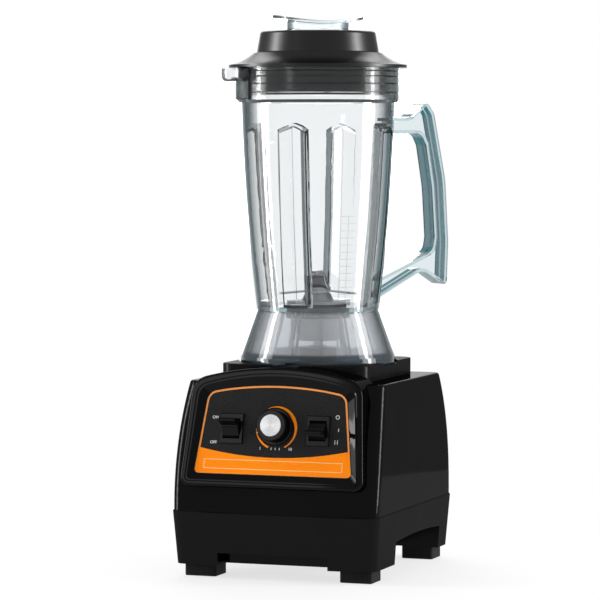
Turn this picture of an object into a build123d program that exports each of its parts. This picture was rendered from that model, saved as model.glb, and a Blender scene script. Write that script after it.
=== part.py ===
from build123d import *
import math
import os

# Countertop blender: a motor base with a leaning control panel, and a clear jug with lid and cup.
# Millimetres. +Z is up, the control panel faces -Y. The origin is on the surface that the feet
# stand on, under the middle of the whole outline.

# ---------------------------------------------------------------- driving dimensions
jar_y = 13.0                # the motor, jug, lid and cup share one upright axis at this Y

# feet and lower base
foot_length = 31.0          # along X
foot_depth = 28.0           # along Y
foot_height = 12.0
front_foot_y = -84.0
rear_foot_y = 97.0
foot_round = 2.5
foot_inset = 25.0           # centre of each foot in from the seam's side
seam_z = 62.0               # where the lower base meets the upper housing
seam_half_width = 101.0
lower_taper = 3.6           # how far each side of the lower base draws in towards its bottom
lower_wall = 4.0
seam_ledge = 1.0            # how far the lower base stands out past the housing, as a bevel
floor_thickness = 4.0
floor_top_z = 40.0
front_cut_half = 53.5       # half width of the cut-outs in the front and rear skirts
front_cut_height = 12.0
side_cut_front_y = -49.0
side_cut_rear_y = 83.0
side_cut_height = 21.0
side_cut_rise = 2.5         # how far the top of the side cut-out arches
leg_wall = 3.0
vent_radius = 50.0          # opening in the floor under the motor
front_boss_y = -38.0
rear_boss_place_y = 66.0
boss_inset = 17.0           # screw pillars in from the seam's side
boss_rise = 22.0            # height of the housing's pillars above the seam
cover_gap = 5.0             # bottom cover behind the front and rear skirts
cover_drop = 22.5           # depth of the bottom cover under the floor
cover_wall = 2.5
vent_slots = 11
vent_pitch = 11.0
vent_slot_width = 5.0

# upper housing
housing_top_z = 180.0
housing_wall = 3.0
corner_radius = 10.0
seam_front_y = -110.4
seam_rear_y = 119.0
front_bulge = 6.0           # how far the front bows out between its corners at the seam
waist_z = 100.0
waist_draw = 0.4             # each side's draw-in at the waist, from the seam
waist_front_draw = 5.9       # the front's slope back at the waist, from the seam
waist_rear_draw = 4.5
shoulder_z = 140.0
shoulder_draw = 1.7
shoulder_front_draw = 15.9
shoulder_rear_draw = 10.0
top_draw = 5.0
top_front_draw = 32.4
top_rear_draw = 22.0
shaft_hole_radius = 14.0

# control panel: a plane that leans back, measured from its foot line
panel_lean = 11.5           # degrees
panel_foot_y = -113.0
panel_foot_z = 92.0
bezel_rise = 4.0            # bezel rim in front of the label's face
bezel_rim_width = 5.5
rim_bevel = 0.8             # bevel along the rim's inner edge
bezel_bottom = -7.5
bezel_bottom_half = seam_half_width - 11.5
bezel_shoulder = 91.5
bezel_shoulder_half = bezel_bottom_half - 7.0
bezel_crown = 104.0
bezel_bottom_round = 9.0
bezel_top_round = 18.0
label_bottom = 5.0
label_bottom_half = bezel_bottom_half - 12.2
label_shoulder = 81.5
label_shoulder_half = bezel_shoulder_half - 14.5
label_crown = 88.6
label_bottom_round = 4.5
label_top_round = 14.0
label_thickness = 0.4
panel_thickness = 2.0
panel_ledge = 4.0           # width of the ledge that carries the panel
ledge_thickness = 3.0
panel_fit = 0.15            # gap round the panel in its recess

# controls on the panel
switch_x = 42.0
switch_up = 47.5
switch_width = 22.6
switch_height = 28.0
switch_rim = 1.8            # how far the switch frame stands in front of the label
switch_body_width = 20.0
switch_body_height = 25.4
switch_body_depth = 24.0
rocker_radius = 9.0
rocker_width = 16.0
rocker_pivot_depth = 3.5    # pivot line behind the label's face
rocker_lever_reach = 21.0   # lever tip from the pivot line
rocker_lever_thickness = 3.4
rocker_pin_radius = 1.5
rocker_pin_length = 1.2     # each end past the rocker
power_on_tilt = 20.0        # the power rocker stands up, at ON
pulse_rest_tilt = -10.0     # the pulse rocker hangs a little below level at rest
running_gap = 0.05          # radial clearance of a turning pin or shaft in its hole
moving_gap = 0.35           # clearance between parts that move past each other
knob_up = 50.3
knob_skirt_radius = 17.5
knob_skirt_height = 3.4
knob_body_radius = 14.5
knob_height = 13.0          # cap face in front of the label
knob_cap_radius = 10.2
knob_cap_thickness = 0.8
knob_ribs = 24
knob_pointer_angle = 201.5  # degrees from +X round the panel normal
pot_shaft_radius = 3.0
pot_bush_radius = 4.6
pot_body_size = 24.0
pot_body_depth = 10.0
pot_nut_radius = 7.0
pot_nut_height = 2.4

# jar pad
pad_half = 72.5
pad_top_z = 195.0
pad_corner = 14.0
pad_recess_radius = 75.0
pad_recess_depth = 2.5
pad_wall = 5.0
pad_roof = 5.0
pad_well_radius = 24.0
pad_collar_wall = 4.0

# jug
skirt_radius = 73.0
skirt_lip_height = 7.5
skirt_wall = 3.2
waist_radius = 57.6
jug_floor_z = 243.0         # underside of the jug's floor
jug_floor_thickness = 4.0
jug_middle_radius = 67.0
jug_middle_z = 335.0
jug_top_radius = 72.6
band_bottom_z = 438.0
band_radius = 77.0
jug_rim_z = 471.0
jug_wall = 3.0
mouth_radius = 70.5
mouth_shoulder = 7.0         # the bore widens to the mouth over this height
band_groove = 0.7
band_groove_half = 0.6
band_bevel = 2.7
band_groove_heights = (447.5, 455.7, 462.5, 467.4)
flute_half_width = 13.6
flute_inner_half = 4.0
flute_depth = 12.0
flute_top_z = 409.0
flute_peak = 7.0
flute_count = 4
skirt_ribs = 16
skirt_rib_width = 3.4
skirt_rib_depth = 9.0
skirt_rib_rise = 2.5         # the ribs start this far above the skirt's lip
notch_half_width = 6.0
notch_height = 4.5
spout_half_width = 14.0
spout_reach = 98.0
spout_root_radius = 79.5
spout_top_z = 469.5
spout_depth = 12.0
spout_wall = 2.4
spout_round = 5.0
handle_angle = 45.0         # degrees from +X, towards the rear
spout_angle = 225.0
handle_reach = 133.3        # outermost point from the axis
handle_top_z = 424.0
handle_low_z = 262.0
handle_arm = 14.6           # depth of the upper arm
handle_horn = 16.0          # how far the thumb rest stands above the arm
handle_slope = 0.552        # rise of the lower arm over its run
handle_width = 22.0
handle_web = 4.0
handle_flange = 3.0

# lid and cup
lid_radius = 84.0
lid_edge = 2.6
lid_dome_foot_radius = 57.5
lid_dome_foot_z = 486.0
lid_dome_top_radius = 54.6
lid_top_z = 505.0
lid_wall = 3.0
lid_neck = 3.0               # ledge round the foot of the dome
lid_step = 1.2
lid_sag_radius = 70.0        # the flange's hollow curve passes here
lid_sag_rise = 7.2
lid_plug_depth = 26.0
lid_plug_wall = 3.0
gasket_width = 2.4
gasket_sleeve = 1.0          # thickness of the gasket between its lips
gasket_lip = 2.0
gasket_pitch = 5.6
gasket_lips = 4
cup_radius = 29.5
cup_wall = 2.2
cup_bottom_z = lid_top_z - 33.0
cup_bottom_radius = 27.0
cup_shoulder = 2.2
cup_brim = 1.6               # height of the shoulder that rests on the lid
cup_fit_height = 4.0
cup_flange_radius = 43.5
cup_flange_z = lid_top_z + 6.5   # underside of the bent flange at its middle
cup_flange_thickness = 2.6
cup_flange_rise = 5.9       # how far its two tips stand above its middle
cup_turn = 32.7             # how far the cup is turned in the lid, in degrees

# motor
motor_shaft_radius = 5.0
shaft_bottom_z = 36.0
fan_bottom_z = 45.0
fan_height = 12.0
fan_radius = 46.0
fan_blades = 11
duct_gap = 2.5
duct_wall = 2.5
lower_bracket_z = 62.0
bracket_thickness = 5.0
bracket_half = 47.0
bracket_scallop = 12.0      # radius of the scallops in a bracket's sides
bearing_radius = 15.0
bearing_height = 9.0
commutator_z = 74.0
commutator_height = 16.0
commutator_radius = 17.0
core_z = 98.0
core_height = 48.0
armature_radius = 26.0
air_gap = 0.6
stator_radius = 47.0
stator_wall = 12.0
coil_height = 7.0
upper_bracket_z = 158.0
isolator_radius = 6.5
motor_bolt_spacing = 38.0   # bolt centres from the axis, along X and along Y
motor_bolt_radius = 2.5
brush_half = 4.0
brush_length = 16.0

# drive coupling
socket_radius = 17.5
socket_bottom_z = 185.0
socket_top_z = 207.0
socket_depth = 13.0
spline_root_radius = 6.4
spline_tip_radius = 8.4
spline_teeth = 8

# blade assembly
blade_shaft_radius = 4.0
spline_bottom_z = 197.0
spline_height = 12.0
holder_barrel_radius = 20.0
holder_bottom_z = 214.0
holder_flange_radius = 27.0
holder_flange_height = 3.0
holder_boss_radius = 12.0
holder_boss_top_z = 258.0
blade_gasket_thickness = 1.5
blade_bearing_radius = 11.0
blade_bearing_height = 7.0
lock_nut_radius = 30.0
lock_nut_height = 8.0
lock_nut_teeth = 12
blade_reach = 36.0
blade_root_half = 9.0
blade_tip_half = 4.5
blade_thickness = 1.8
blade_rise = 28.0           # degrees each wing bends up or down
lower_blade_z = 260.0
blade_nut_radius = 7.5
blade_nut_height = 9.0

# electronics
board_left_x = -38.0
board_width = 68.0
board_height = 62.0
board_thickness = 1.6
board_foot_height = 8.0
board_foot_half = 6.0
sink_width = 32.0
sink_height = 42.0
sink_plate = 3.0
sink_fin = 1.6
sink_fin_depth = 11.0
sink_fins = 6
capacitor_radius = 8.0
capacitor_length = 16.0
terminal_width = 20.0
terminal_length = 32.0
terminal_height = 14.0
terminal_hole_radius = 2.4
terminal_gap = 1.4

# rear of the base
rear_fitting_z = 51.0
cord_bush_x = 52.0
cord_hole_radius = 4.2
cord_bush_radius = 7.5
reset_x = -52.0
reset_body_radius = 7.0
reset_button_radius = 3.6
reset_button_out = 2.2      # button in front of its collar
reset_travel = 1.8
boss_radius = 11.0
boss_out = 1.2

# screws
screw_radius = 2.0
screw_head_radius = 3.9
screw_head_height = 2.6
boss_wall = 2.6


# ---------------------------------------------------------------- helpers
def ring(outer, inner, low, high):
    """A plain ring round the origin's upright axis."""
    height = high - low
    body = Cylinder(outer, height) - Cylinder(inner, height + 2)
    return Pos(0, 0, (low + high) / 2) * body


def disc(radius, low, high):
    return Pos(0, 0, (low + high) / 2) * Cylinder(radius, high - low)


def block(x0, x1, y0, y1, z0, z1):
    return Pos((x0 + x1) / 2, (y0 + y1) / 2, (z0 + z1) / 2) * Box(x1 - x0, y1 - y0, z1 - z0)


def turned(points):
    """A solid of revolution about Z from (radius, height) corners."""
    outline = Polyline(*[(r, 0, z) for r, z in points], close=True)
    return revolve(make_face(outline), Axis.Z)


def on_axis(shape):
    """Moves a piece that was made round the origin onto the motor and jug axis."""
    return Pos(0, jar_y, 0) * shape


def save(shape, name):
    export_step(shape, f"parts/{name}.step")


def group(shapes):
    return Compound(children=list(shapes))


def screw(length):
    """A pan-head screw, its head's underside at z = 0 and its shank downwards."""
    shank = disc(screw_radius, -length, 0)
    head = fillet(disc(screw_head_radius, 0, screw_head_height).edges().sort_by(Axis.Z)[-1], 1.0)
    slot = Box(screw_head_radius, 1.0, 1.2) + Box(1.0, screw_head_radius, 1.2)
    return shank + head - Pos(0, 0, screw_head_height) * slot


# ---------------------------------------------------------------- base outline
def base_section(z, half_width, front_y, rear_y, bulge, inset=0.0):
    """A level section of the base: three straight sides and a front that bows out."""
    half = half_width - inset
    front = front_y + inset
    rear = rear_y - inset
    outline = Curve() + [
        Line((half, front), (half, rear)),
        Line((half, rear), (-half, rear)),
        Line((-half, rear), (-half, front)),
        ThreePointArc((-half, front), (0, front - bulge), (half, front)),
    ]
    face = make_face(outline)
    face = fillet(face.vertices(), corner_radius - inset / 2)
    return Pos(0, 0, z) * face


def housing_form(inset, top_z):
    """The outer form of the upper housing, or its cavity when inset by the wall."""
    levels = [
        (seam_z, seam_ledge, seam_ledge, seam_ledge, 1.0),
        (waist_z, waist_draw, waist_front_draw, waist_rear_draw, 0.8),
        (shoulder_z, shoulder_draw, shoulder_front_draw, shoulder_rear_draw, 0.6),
        (top_z, top_draw, top_front_draw, top_rear_draw, 0.4),
    ]
    return loft([base_section(z, seam_half_width - side, seam_front_y + front, seam_rear_y - rear,
                              front_bulge * bow, inset) for z, side, front, rear, bow in levels])


def side_draw(z):
    """How far the lower base has drawn in at a level."""
    return lower_taper * (seam_z - z) / (seam_z - foot_height)


def lower_section(z, inset=0.0):
    draw_in = side_draw(z)
    return base_section(z, seam_half_width - draw_in, seam_front_y + draw_in,
                        seam_rear_y - draw_in, front_bulge, inset)


def lower_form(inset, bottom_z, top_z):
    """The tapered lower base between two levels."""
    return loft([lower_section(bottom_z, inset), lower_section(top_z, inset)])


def base_shell():
    """The lower base as if solid, with the bevelled ledge along its top."""
    low = seam_z - seam_ledge
    return lower_form(0, foot_height, low) + extrude(lower_section(low), seam_ledge, taper=45)


# ---------------------------------------------------------------- lower base
foot_x = seam_half_width - foot_inset
boss_x = seam_half_width - boss_inset


def leg_corners():
    """The middle of each foot, as (x, y)."""
    return [(side * foot_x, y) for y in (front_foot_y, rear_foot_y) for side in (-1, 1)]


base_boss_places = [(side * boss_x, y) for y in (front_boss_y, rear_boss_place_y) for side in (-1, 1)]
bottom_cover_half = front_cut_half + 2.0
bottom_cover_front_y = seam_front_y + lower_taper + lower_wall + cover_gap
bottom_cover_rear_y = seam_rear_y - lower_taper - lower_wall - cover_gap
cover_bottom_z = floor_top_z - floor_thickness - cover_drop


def side_cut(x0, x1):
    """The arched cut-out through a side skirt."""
    low = foot_height - 1
    high = foot_height + side_cut_height
    middle = (side_cut_front_y + side_cut_rear_y) / 2
    outline = Curve() + [
        Line((side_cut_front_y, low), (side_cut_rear_y, low)),
        Line((side_cut_rear_y, low), (side_cut_rear_y, high)),
        ThreePointArc((side_cut_rear_y, high), (middle, high + side_cut_rise),
                      (side_cut_front_y, high)),
        Line((side_cut_front_y, high), (side_cut_front_y, low)),
    ]
    face = Plane.YZ.offset(x0) * make_face(outline)
    return extrude(face, x1 - x0)


def make_lower_base():
    floor_low = floor_top_z - floor_thickness
    shell = base_shell()
    shell -= lower_form(lower_wall, floor_top_z, seam_z)
    inner_front = seam_front_y + lower_taper + lower_wall
    inner_rear = seam_rear_y - lower_taper - lower_wall
    wide = seam_half_width + 10
    # underside channel between the left and right legs, then between the front and rear legs
    shell -= block(-front_cut_half, front_cut_half, inner_front, inner_rear, 0, floor_low)
    inner_half = seam_half_width - lower_taper - lower_wall
    shell -= block(-inner_half, inner_half, side_cut_front_y, side_cut_rear_y, 0, floor_low)
    shell -= block(-front_cut_half, front_cut_half, -2 * wide, 2 * wide, 0,
                   foot_height + front_cut_height)
    shell -= side_cut(-wide, -inner_half + 1)
    shell -= side_cut(inner_half - 1, wide)
    # each leg is an open pocket over a closed sole
    for side in (-1, 1):
        near = side * (front_cut_half + leg_wall)
        far = side * (seam_half_width - lower_taper - lower_wall)
        x0, x1 = min(near, far), max(near, far)
        sole = foot_height + leg_wall
        shell -= block(x0, x1, inner_front, side_cut_front_y - leg_wall, sole, floor_top_z + 1)
        shell -= block(x0, x1, side_cut_rear_y + leg_wall, inner_rear, sole, floor_top_z + 1)
    shell -= on_axis(disc(vent_radius, floor_low - 1, floor_top_z + 1))
    for x, y in leg_corners():
        shell -= Pos(x, y, foot_height) * Cylinder(screw_radius, 4 * leg_wall)
    # screw pillars up to the seam, and the bosses on the rear wall
    for x, y in base_boss_places:
        shell += Pos(x, y, 0) * disc(screw_radius + boss_wall, floor_low, seam_z)
        shell -= Pos(x, y, 0) * disc(screw_radius, 0, seam_z + 1)
    for x, hole in ((cord_bush_x, cord_bush_radius), (reset_x, reset_body_radius)):
        shell += rear_boss(x)
        shell -= Pos(x, rear_face_y, rear_fitting_z) * Rot(90, 0, 0) * Cylinder(hole, 40)
    return shell


rear_face_y = seam_rear_y - side_draw(rear_fitting_z)
rear_boss_y = seam_rear_y - 0.2     # outer face of the bosses, kept inside the seam's outline


def rear_boss(x):
    inside = seam_rear_y - lower_taper - lower_wall - 2.0
    length = rear_boss_y - inside
    return Pos(x, inside + length / 2, rear_fitting_z) * Rot(90, 0, 0) * Cylinder(boss_radius, length)


def make_bottom_cover():
    """A shallow vented tray that closes the space under the motor."""
    floor_low = floor_top_z - floor_thickness
    front, rear, half = bottom_cover_front_y, bottom_cover_rear_y, bottom_cover_half - leg_wall
    tray = block(-half, half, front, rear, cover_bottom_z, floor_low)
    tray = fillet(tray.edges().filter_by(Axis.Z), 6.0)
    tray -= block(-half + cover_wall, half - cover_wall, front + cover_wall, rear - cover_wall,
                  cover_bottom_z + cover_wall, floor_low + 1)
    slot_length = 2 * half - 40
    for number in range(vent_slots):
        y = jar_y + (number - (vent_slots - 1) / 2) * vent_pitch
        tray -= Pos(0, y, cover_bottom_z) * Box(slot_length, vent_slot_width, 4 * cover_wall)
    return tray


def make_feet():
    foot = block(-foot_length / 2, foot_length / 2, -foot_depth / 2, foot_depth / 2, 0, foot_height)
    foot = fillet(foot.edges().filter_by(Axis.Z), foot_round)
    foot = fillet(foot.edges().group_by(Axis.Z)[0], 0.8)
    foot -= disc(screw_head_radius + 1, -1, foot_height - 4)
    foot -= disc(screw_radius, 0, foot_height + 1)
    return group([Pos(x, y, 0) * foot for x, y in leg_corners()])


def make_foot_screws():
    one = Pos(0, 0, foot_height - 4) * Rot(180, 0, 0) * screw(9.0)
    return group([Pos(x, y, 0) * one for x, y in leg_corners()])


def make_housing_screws():
    """Screws that rise from under the floor, through the pillars, into the upper housing."""
    floor_low = floor_top_z - floor_thickness
    one = Pos(0, 0, floor_low) * Rot(180, 0, 0) * screw(seam_z + boss_rise - 8.0 - floor_low)
    return group([Pos(x, y, 0) * one for x, y in base_boss_places])


# ---------------------------------------------------------------- control panel plane
panel_plane = Plane(
    origin=(0, panel_foot_y, panel_foot_z), x_dir=(1, 0, 0),
    z_dir=(0, -math.cos(math.radians(panel_lean)), math.sin(math.radians(panel_lean))))


def arch_face(bottom, bottom_half, shoulder, shoulder_half, crown, low_round, top_round, inset=0.0):
    """The panel's outline: a level foot, sides that draw in, and an arched top."""
    foot = bottom + inset
    foot_half = bottom_half - inset
    side_half = shoulder_half - inset
    outline = Curve() + [
        Line((-foot_half, foot), (foot_half, foot)),
        Line((foot_half, foot), (side_half, shoulder - inset)),
        ThreePointArc((side_half, shoulder - inset), (0, crown - inset), (-side_half, shoulder - inset)),
        Line((-side_half, shoulder - inset), (-foot_half, foot)),
    ]
    face = make_face(outline)
    by_height = face.vertices().sort_by(Axis.Y)
    low = max(low_round - inset, 1.0)
    high = max(top_round - inset, 2.0)
    face = fillet(by_height[2:], high)
    face = fillet(face.vertices().sort_by(Axis.Y)[:2], low)
    return face


def bezel_face(inset=0.0):
    return arch_face(bezel_bottom, bezel_bottom_half, bezel_shoulder, bezel_shoulder_half,
                     bezel_crown, bezel_bottom_round, bezel_top_round, inset)


def label_face(inset=0.0):
    return arch_face(label_bottom, label_bottom_half, label_shoulder, label_shoulder_half,
                     label_crown, label_bottom_round, label_top_round, inset)


def on_panel(x, up, out=0.0):
    """A place on the panel: x across, up its slope, out along its normal."""
    return panel_plane * Pos(x, up, out)


# ---------------------------------------------------------------- upper housing
pad_front_y = jar_y - pad_half


def make_upper_housing():
    outer = housing_form(0, housing_top_z)
    outer = fillet(outer.edges().group_by(Axis.Z)[-1], 3.0)
    # the hood runs level from the bezel back to the jar pad
    past = 2 * pad_half         # long enough to reach the pad from any height of the panel
    hood = extrude(on_panel(0, 0, bezel_rise) * bezel_face(), past, dir=(0, 1, 0))
    rim_edges = hood.faces().sort_by(Axis.Y)[0].edges()
    hood = fillet(rim_edges, 2.6)
    wide = 2 * seam_half_width
    high = 2 * housing_top_z
    hood -= block(-wide, wide, pad_front_y, pad_front_y + past, 0, high)
    hood -= on_axis(disc(skirt_radius + 2 * moving_gap, skirt_bottom_z - moving_gap, high))
    shell = outer + hood
    # cavity: the inside of the loft, and the inside of the hood
    behind = on_panel(0, 0, -panel_thickness - ledge_thickness)
    hood_inside = extrude(behind * bezel_face(housing_wall), past, dir=(0, 1, 0))
    hood_inside -= block(-wide, wide, pad_front_y - housing_wall, pad_front_y + past, 0, high)
    keep_front = extrude(behind * Rectangle(2 * wide, 2 * high), wide)
    shell -= housing_form(housing_wall, housing_top_z - housing_wall) - keep_front
    shell -= hood_inside
    # bezel: the rim slopes in to the label, with a recess for the panel behind it
    slope = loft([on_panel(0, 0, 0) * label_face(-panel_fit),
                  on_panel(0, 0, bezel_rise + 0.01) * bezel_face(bezel_rim_width)])
    shell -= slope
    shell -= loft([on_panel(0, 0, bezel_rise - rim_bevel) * bezel_face(bezel_rim_width + rim_bevel / 2),
                   on_panel(0, 0, bezel_rise + 0.01) * bezel_face(bezel_rim_width - rim_bevel)])
    shell -= extrude(on_panel(0, 0, 0.01) * label_face(-panel_fit), -panel_thickness - 0.01)
    shell -= extrude(on_panel(0, 0, 0) * label_face(panel_ledge), -panel_thickness - ledge_thickness - 4)
    # motor shaft, mounting screws and pad screws pass through the top
    shell -= on_axis(disc(shaft_hole_radius, housing_top_z - 20, housing_top_z + 20))
    for x, y in motor_bolt_places() + pad_screw_places():
        shell -= Pos(x, y, housing_top_z) * Cylinder(screw_radius + 0.1, 20)
    # pillars that take the screws from the lower base
    for x, y in base_boss_places:
        pillar = disc(screw_radius + boss_wall, seam_z, seam_z + boss_rise)
        side = math.copysign(1, x)
        web = block(0, 2 * boss_x, -boss_wall / 2, boss_wall / 2, seam_z, seam_z + boss_rise)
        web = Rot(0, 0, 0 if side > 0 else 180) * web
        shell += (Pos(x, y, 0) * (pillar + web)) & outer
        shell -= Pos(x, y, 0) * disc(screw_radius, seam_z - 1, seam_z + boss_rise - 6.0)
    return shell


def motor_bolt_places():
    step = motor_bolt_spacing
    return [(sx * step, jar_y + sy * step) for sx in (-1, 1) for sy in (-1, 1)]


def pad_screw_places():
    step = pad_half - pad_wall - 8.0
    return [(sx * step, jar_y + sy * step) for sx in (-1, 1) for sy in (-1, 1)]


# ---------------------------------------------------------------- panel and controls
def switch_places():
    return [-switch_x, switch_x]


def panel_holes(depth):
    """The openings for both switches and the control shaft, cut through a plate."""
    holes = []
    for x in switch_places():
        holes.append(on_panel(x, switch_up) * Box(switch_body_width + 0.3,
                                                  switch_body_height + 0.3, depth))
    holes.append(on_panel(0, knob_up) * Cylinder(pot_bush_radius + 0.15, depth))
    return holes


def make_control_panel():
    plate = extrude(on_panel(0, 0, -label_thickness) * label_face(), label_thickness - panel_thickness)
    for hole in panel_holes(40):
        plate -= hole
    return plate


def make_panel_label():
    film = extrude(on_panel(0, 0, 0) * label_face(), -label_thickness)
    for hole in panel_holes(40):
        film -= hole
    return film


def make_switch_body(x):
    depth = switch_body_depth
    body = Pos(0, 0, -depth / 2) * Box(switch_body_width, switch_body_height, depth)
    frame = Pos(0, 0, switch_rim / 2) * Box(switch_width, switch_height, switch_rim)
    frame = chamfer(frame.faces().sort_by(Axis.Z)[-1].edges(), 0.7)
    shape = body + frame
    pocket_width = rocker_width + 2 * moving_gap
    pocket_radius = rocker_radius + moving_gap
    mouth = 2 * pocket_radius
    pivot = Pos(0, 0, -rocker_pivot_depth) * Rot(0, 90, 0)
    shape -= pivot * Cylinder(pocket_radius, pocket_width)
    open_height = switch_rim + rocker_pivot_depth + 1
    shape -= Pos(0, 0, open_height / 2 - rocker_pivot_depth) * Box(pocket_width, mouth, open_height)
    bore_length = rocker_width + 2 * rocker_pin_length + 0.4
    shape -= pivot * Cylinder(rocker_pin_radius + running_gap, bore_length)
    for side in (-1, 0, 1):
        shape += Pos(side * 6.0, 0, -depth - 4) * Box(0.8, 5.0, 8.0)
    return on_panel(x, switch_up) * shape


def make_rocker(x, tilt):
    """A rocker barrel with a wide flat lever; tilt raises the lever."""
    barrel = Rot(0, 90, 0) * Cylinder(rocker_radius, rocker_width)
    barrel &= Pos(0, 0, rocker_radius * 0.2) * Box(rocker_width + 1, 2 * rocker_radius + 1,
                                                  rocker_radius * 1.5)
    lever = Pos(0, 0, rocker_lever_reach / 2) * Box(rocker_width, rocker_lever_thickness,
                                                   rocker_lever_reach)
    lever = fillet(lever.edges().filter_by(Axis.X).group_by(Axis.Z)[-1], rocker_lever_thickness * 0.4)
    web = Pos(0, 0, rocker_radius * 0.6) * Rot(0, 90, 0) * Cylinder(rocker_radius * 0.62, rocker_width)
    pins = Rot(0, 90, 0) * Cylinder(rocker_pin_radius, rocker_width + 2 * rocker_pin_length)
    shape = barrel + lever + web + pins
    return on_panel(x, switch_up, -rocker_pivot_depth) * Rot(-tilt, 0, 0) * shape


def make_pot_body():
    body = Pos(0, 0, -panel_thickness - pot_body_depth / 2) * Box(pot_body_size, pot_body_size,
                                                                  pot_body_depth)
    bush = disc(pot_bush_radius, -panel_thickness, pot_nut_height + 0.4)
    shape = body + bush - disc(pot_shaft_radius + running_gap, -panel_thickness - 6, 10)
    return on_panel(0, knob_up) * shape


def make_pot_nut():
    nut = extrude(RegularPolygon(pot_nut_radius, 6), pot_nut_height)
    nut -= Cylinder(pot_bush_radius, 20)
    return on_panel(0, knob_up) * nut


def make_pot_shaft():
    low = -panel_thickness - 5.5
    high = knob_height - 3.0
    return on_panel(0, knob_up) * disc(pot_shaft_radius, low, high)


def make_speed_knob():
    start = 0.6
    skirt = disc(knob_skirt_radius, start, knob_skirt_height)
    skirt = chamfer(skirt.edges().sort_by(Axis.Z)[-1], 1.2)
    body = disc(knob_body_radius, knob_skirt_height, knob_height - knob_cap_thickness)
    body = chamfer(body.edges().sort_by(Axis.Z)[-1], 1.0)
    for number in range(knob_ribs):
        turn = Rot(0, 0, number * 360 / knob_ribs)
        body -= turn * Pos(knob_body_radius + 0.4, 0, knob_height / 2 + 2) * Cylinder(
            1.0, knob_height - 6)
    shape = skirt + body
    shape -= disc(pot_nut_radius + 1.0, 0, pot_nut_height + 1.4)
    shape -= disc(pot_shaft_radius, 0, knob_height - 3.0)
    shape -= disc(knob_cap_radius, knob_height - knob_cap_thickness - 0.6, knob_height + 1)
    shape += disc(knob_cap_radius, knob_height - knob_cap_thickness - 0.6,
                  knob_height - knob_cap_thickness)
    pointer = Pos((knob_body_radius + knob_skirt_radius) / 2, 0, knob_skirt_height) * Box(
        knob_skirt_radius - knob_body_radius, 1.4, 1.0)
    shape -= Rot(0, 0, knob_pointer_angle) * pointer
    return on_panel(0, knob_up) * shape


def make_knob_cap():
    cap = disc(knob_cap_radius, knob_height - knob_cap_thickness, knob_height)
    cap = chamfer(cap.edges().sort_by(Axis.Z)[-1], 0.4)
    return on_panel(0, knob_up) * cap


# ---------------------------------------------------------------- electronics
board_z = floor_top_z + board_foot_height
board_y = seam_rear_y - 35.0     # the board stands behind the motor


def make_control_board():
    left, right = board_left_x, board_left_x + board_width
    board = block(left, right, board_y, board_y + board_thickness, board_z, board_z + board_height)
    return board + block(left, right, board_y - board_foot_half, board_y + board_foot_half,
                         floor_top_z, board_z)


def make_heat_sink():
    low = board_z + (board_height - sink_height) / 2
    left = board_left_x + 4.0
    sink = block(left, left + sink_width, board_y - sink_plate, board_y, low, low + sink_height)
    pitch = (sink_width - sink_fin) / (sink_fins - 1)
    for number in range(sink_fins):
        x = left + number * pitch
        sink += block(x, x + sink_fin, board_y - sink_plate - sink_fin_depth, board_y - sink_plate,
                      low, low + sink_height)
    return sink


def make_capacitor():
    x = board_left_x + board_width - 14.0
    z = board_z + board_height / 2
    return Pos(x, board_y - capacitor_length / 2, z) * Rot(90, 0, 0) * Cylinder(
        capacitor_radius, capacitor_length)


def make_terminal_block():
    """Three terminals in a row beside the right wall, in front of the rear pillar."""
    body = block(-terminal_width / 2, terminal_width / 2, -terminal_length / 2, terminal_length / 2,
                 0, terminal_height)
    pitch = terminal_length / 3
    for number in (-1, 0, 1):
        body -= Pos(0, number * pitch, terminal_height) * Cylinder(terminal_hole_radius, terminal_height)
    wall_x = seam_half_width - lower_taper - lower_wall
    y = rear_boss_place_y - screw_radius - boss_wall - terminal_gap - terminal_length / 2
    return Pos(wall_x - terminal_gap - terminal_width / 2, y, floor_top_z) * body


# ---------------------------------------------------------------- rear fittings
def rear_place(x):
    """Frame at the rear boss: +Z of the piece points out of the back."""
    return Pos(x, rear_boss_y, rear_fitting_z) * Rot(-90, 0, 0)


rear_wall_depth = rear_boss_y - (seam_rear_y - lower_taper - lower_wall - 2.0)


def make_cord_bush():
    depth = rear_wall_depth
    bush = disc(cord_bush_radius, -depth, 0) + disc(cord_bush_radius + 2, -depth - 2.5, -depth)
    return rear_place(cord_bush_x) * (bush - Cylinder(cord_hole_radius, 60))


def make_reset_body():
    depth = rear_wall_depth
    body = disc(reset_body_radius, -depth, 0) + block(-8, 8, -10, 10, -depth - 26, -depth)
    body -= disc(reset_button_radius + running_gap, -depth - 6 - 2 * reset_travel, 1)
    return rear_place(reset_x) * body


def make_reset_button():
    depth = rear_wall_depth
    button = disc(reset_button_radius, -depth - 6, reset_button_out)
    return rear_place(reset_x) * button


# ---------------------------------------------------------------- jar pad
def square_plate(half, low, high, corner):
    plate = block(-half, half, -half, half, low, high)
    return fillet(plate.edges().filter_by(Axis.Z), corner)


def make_jar_pad():
    pad = square_plate(pad_half, housing_top_z, pad_top_z, pad_corner)
    pad = fillet(pad.faces().sort_by(Axis.Z)[-1].edges(), 1.0)
    pad -= disc(pad_recess_radius, pad_top_z - pad_recess_depth, pad_top_z + 5)
    roof_low = pad_top_z - pad_recess_depth - pad_roof
    hollow = square_plate(pad_half - pad_wall, housing_top_z - 1, roof_low, pad_corner - pad_wall)
    hollow -= disc(pad_well_radius + pad_collar_wall, 0, 300)
    for x, y in pad_screw_places():
        hollow -= Pos(x, y - jar_y, 0) * disc(screw_radius + boss_wall, 0, 300)
    pad -= hollow
    pad -= disc(pad_well_radius, 0, 300)
    for x, y in pad_screw_places():
        pad -= Pos(x, y - jar_y, housing_top_z) * Cylinder(screw_radius, 2 * 9.0)
    return on_axis(pad)


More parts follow.
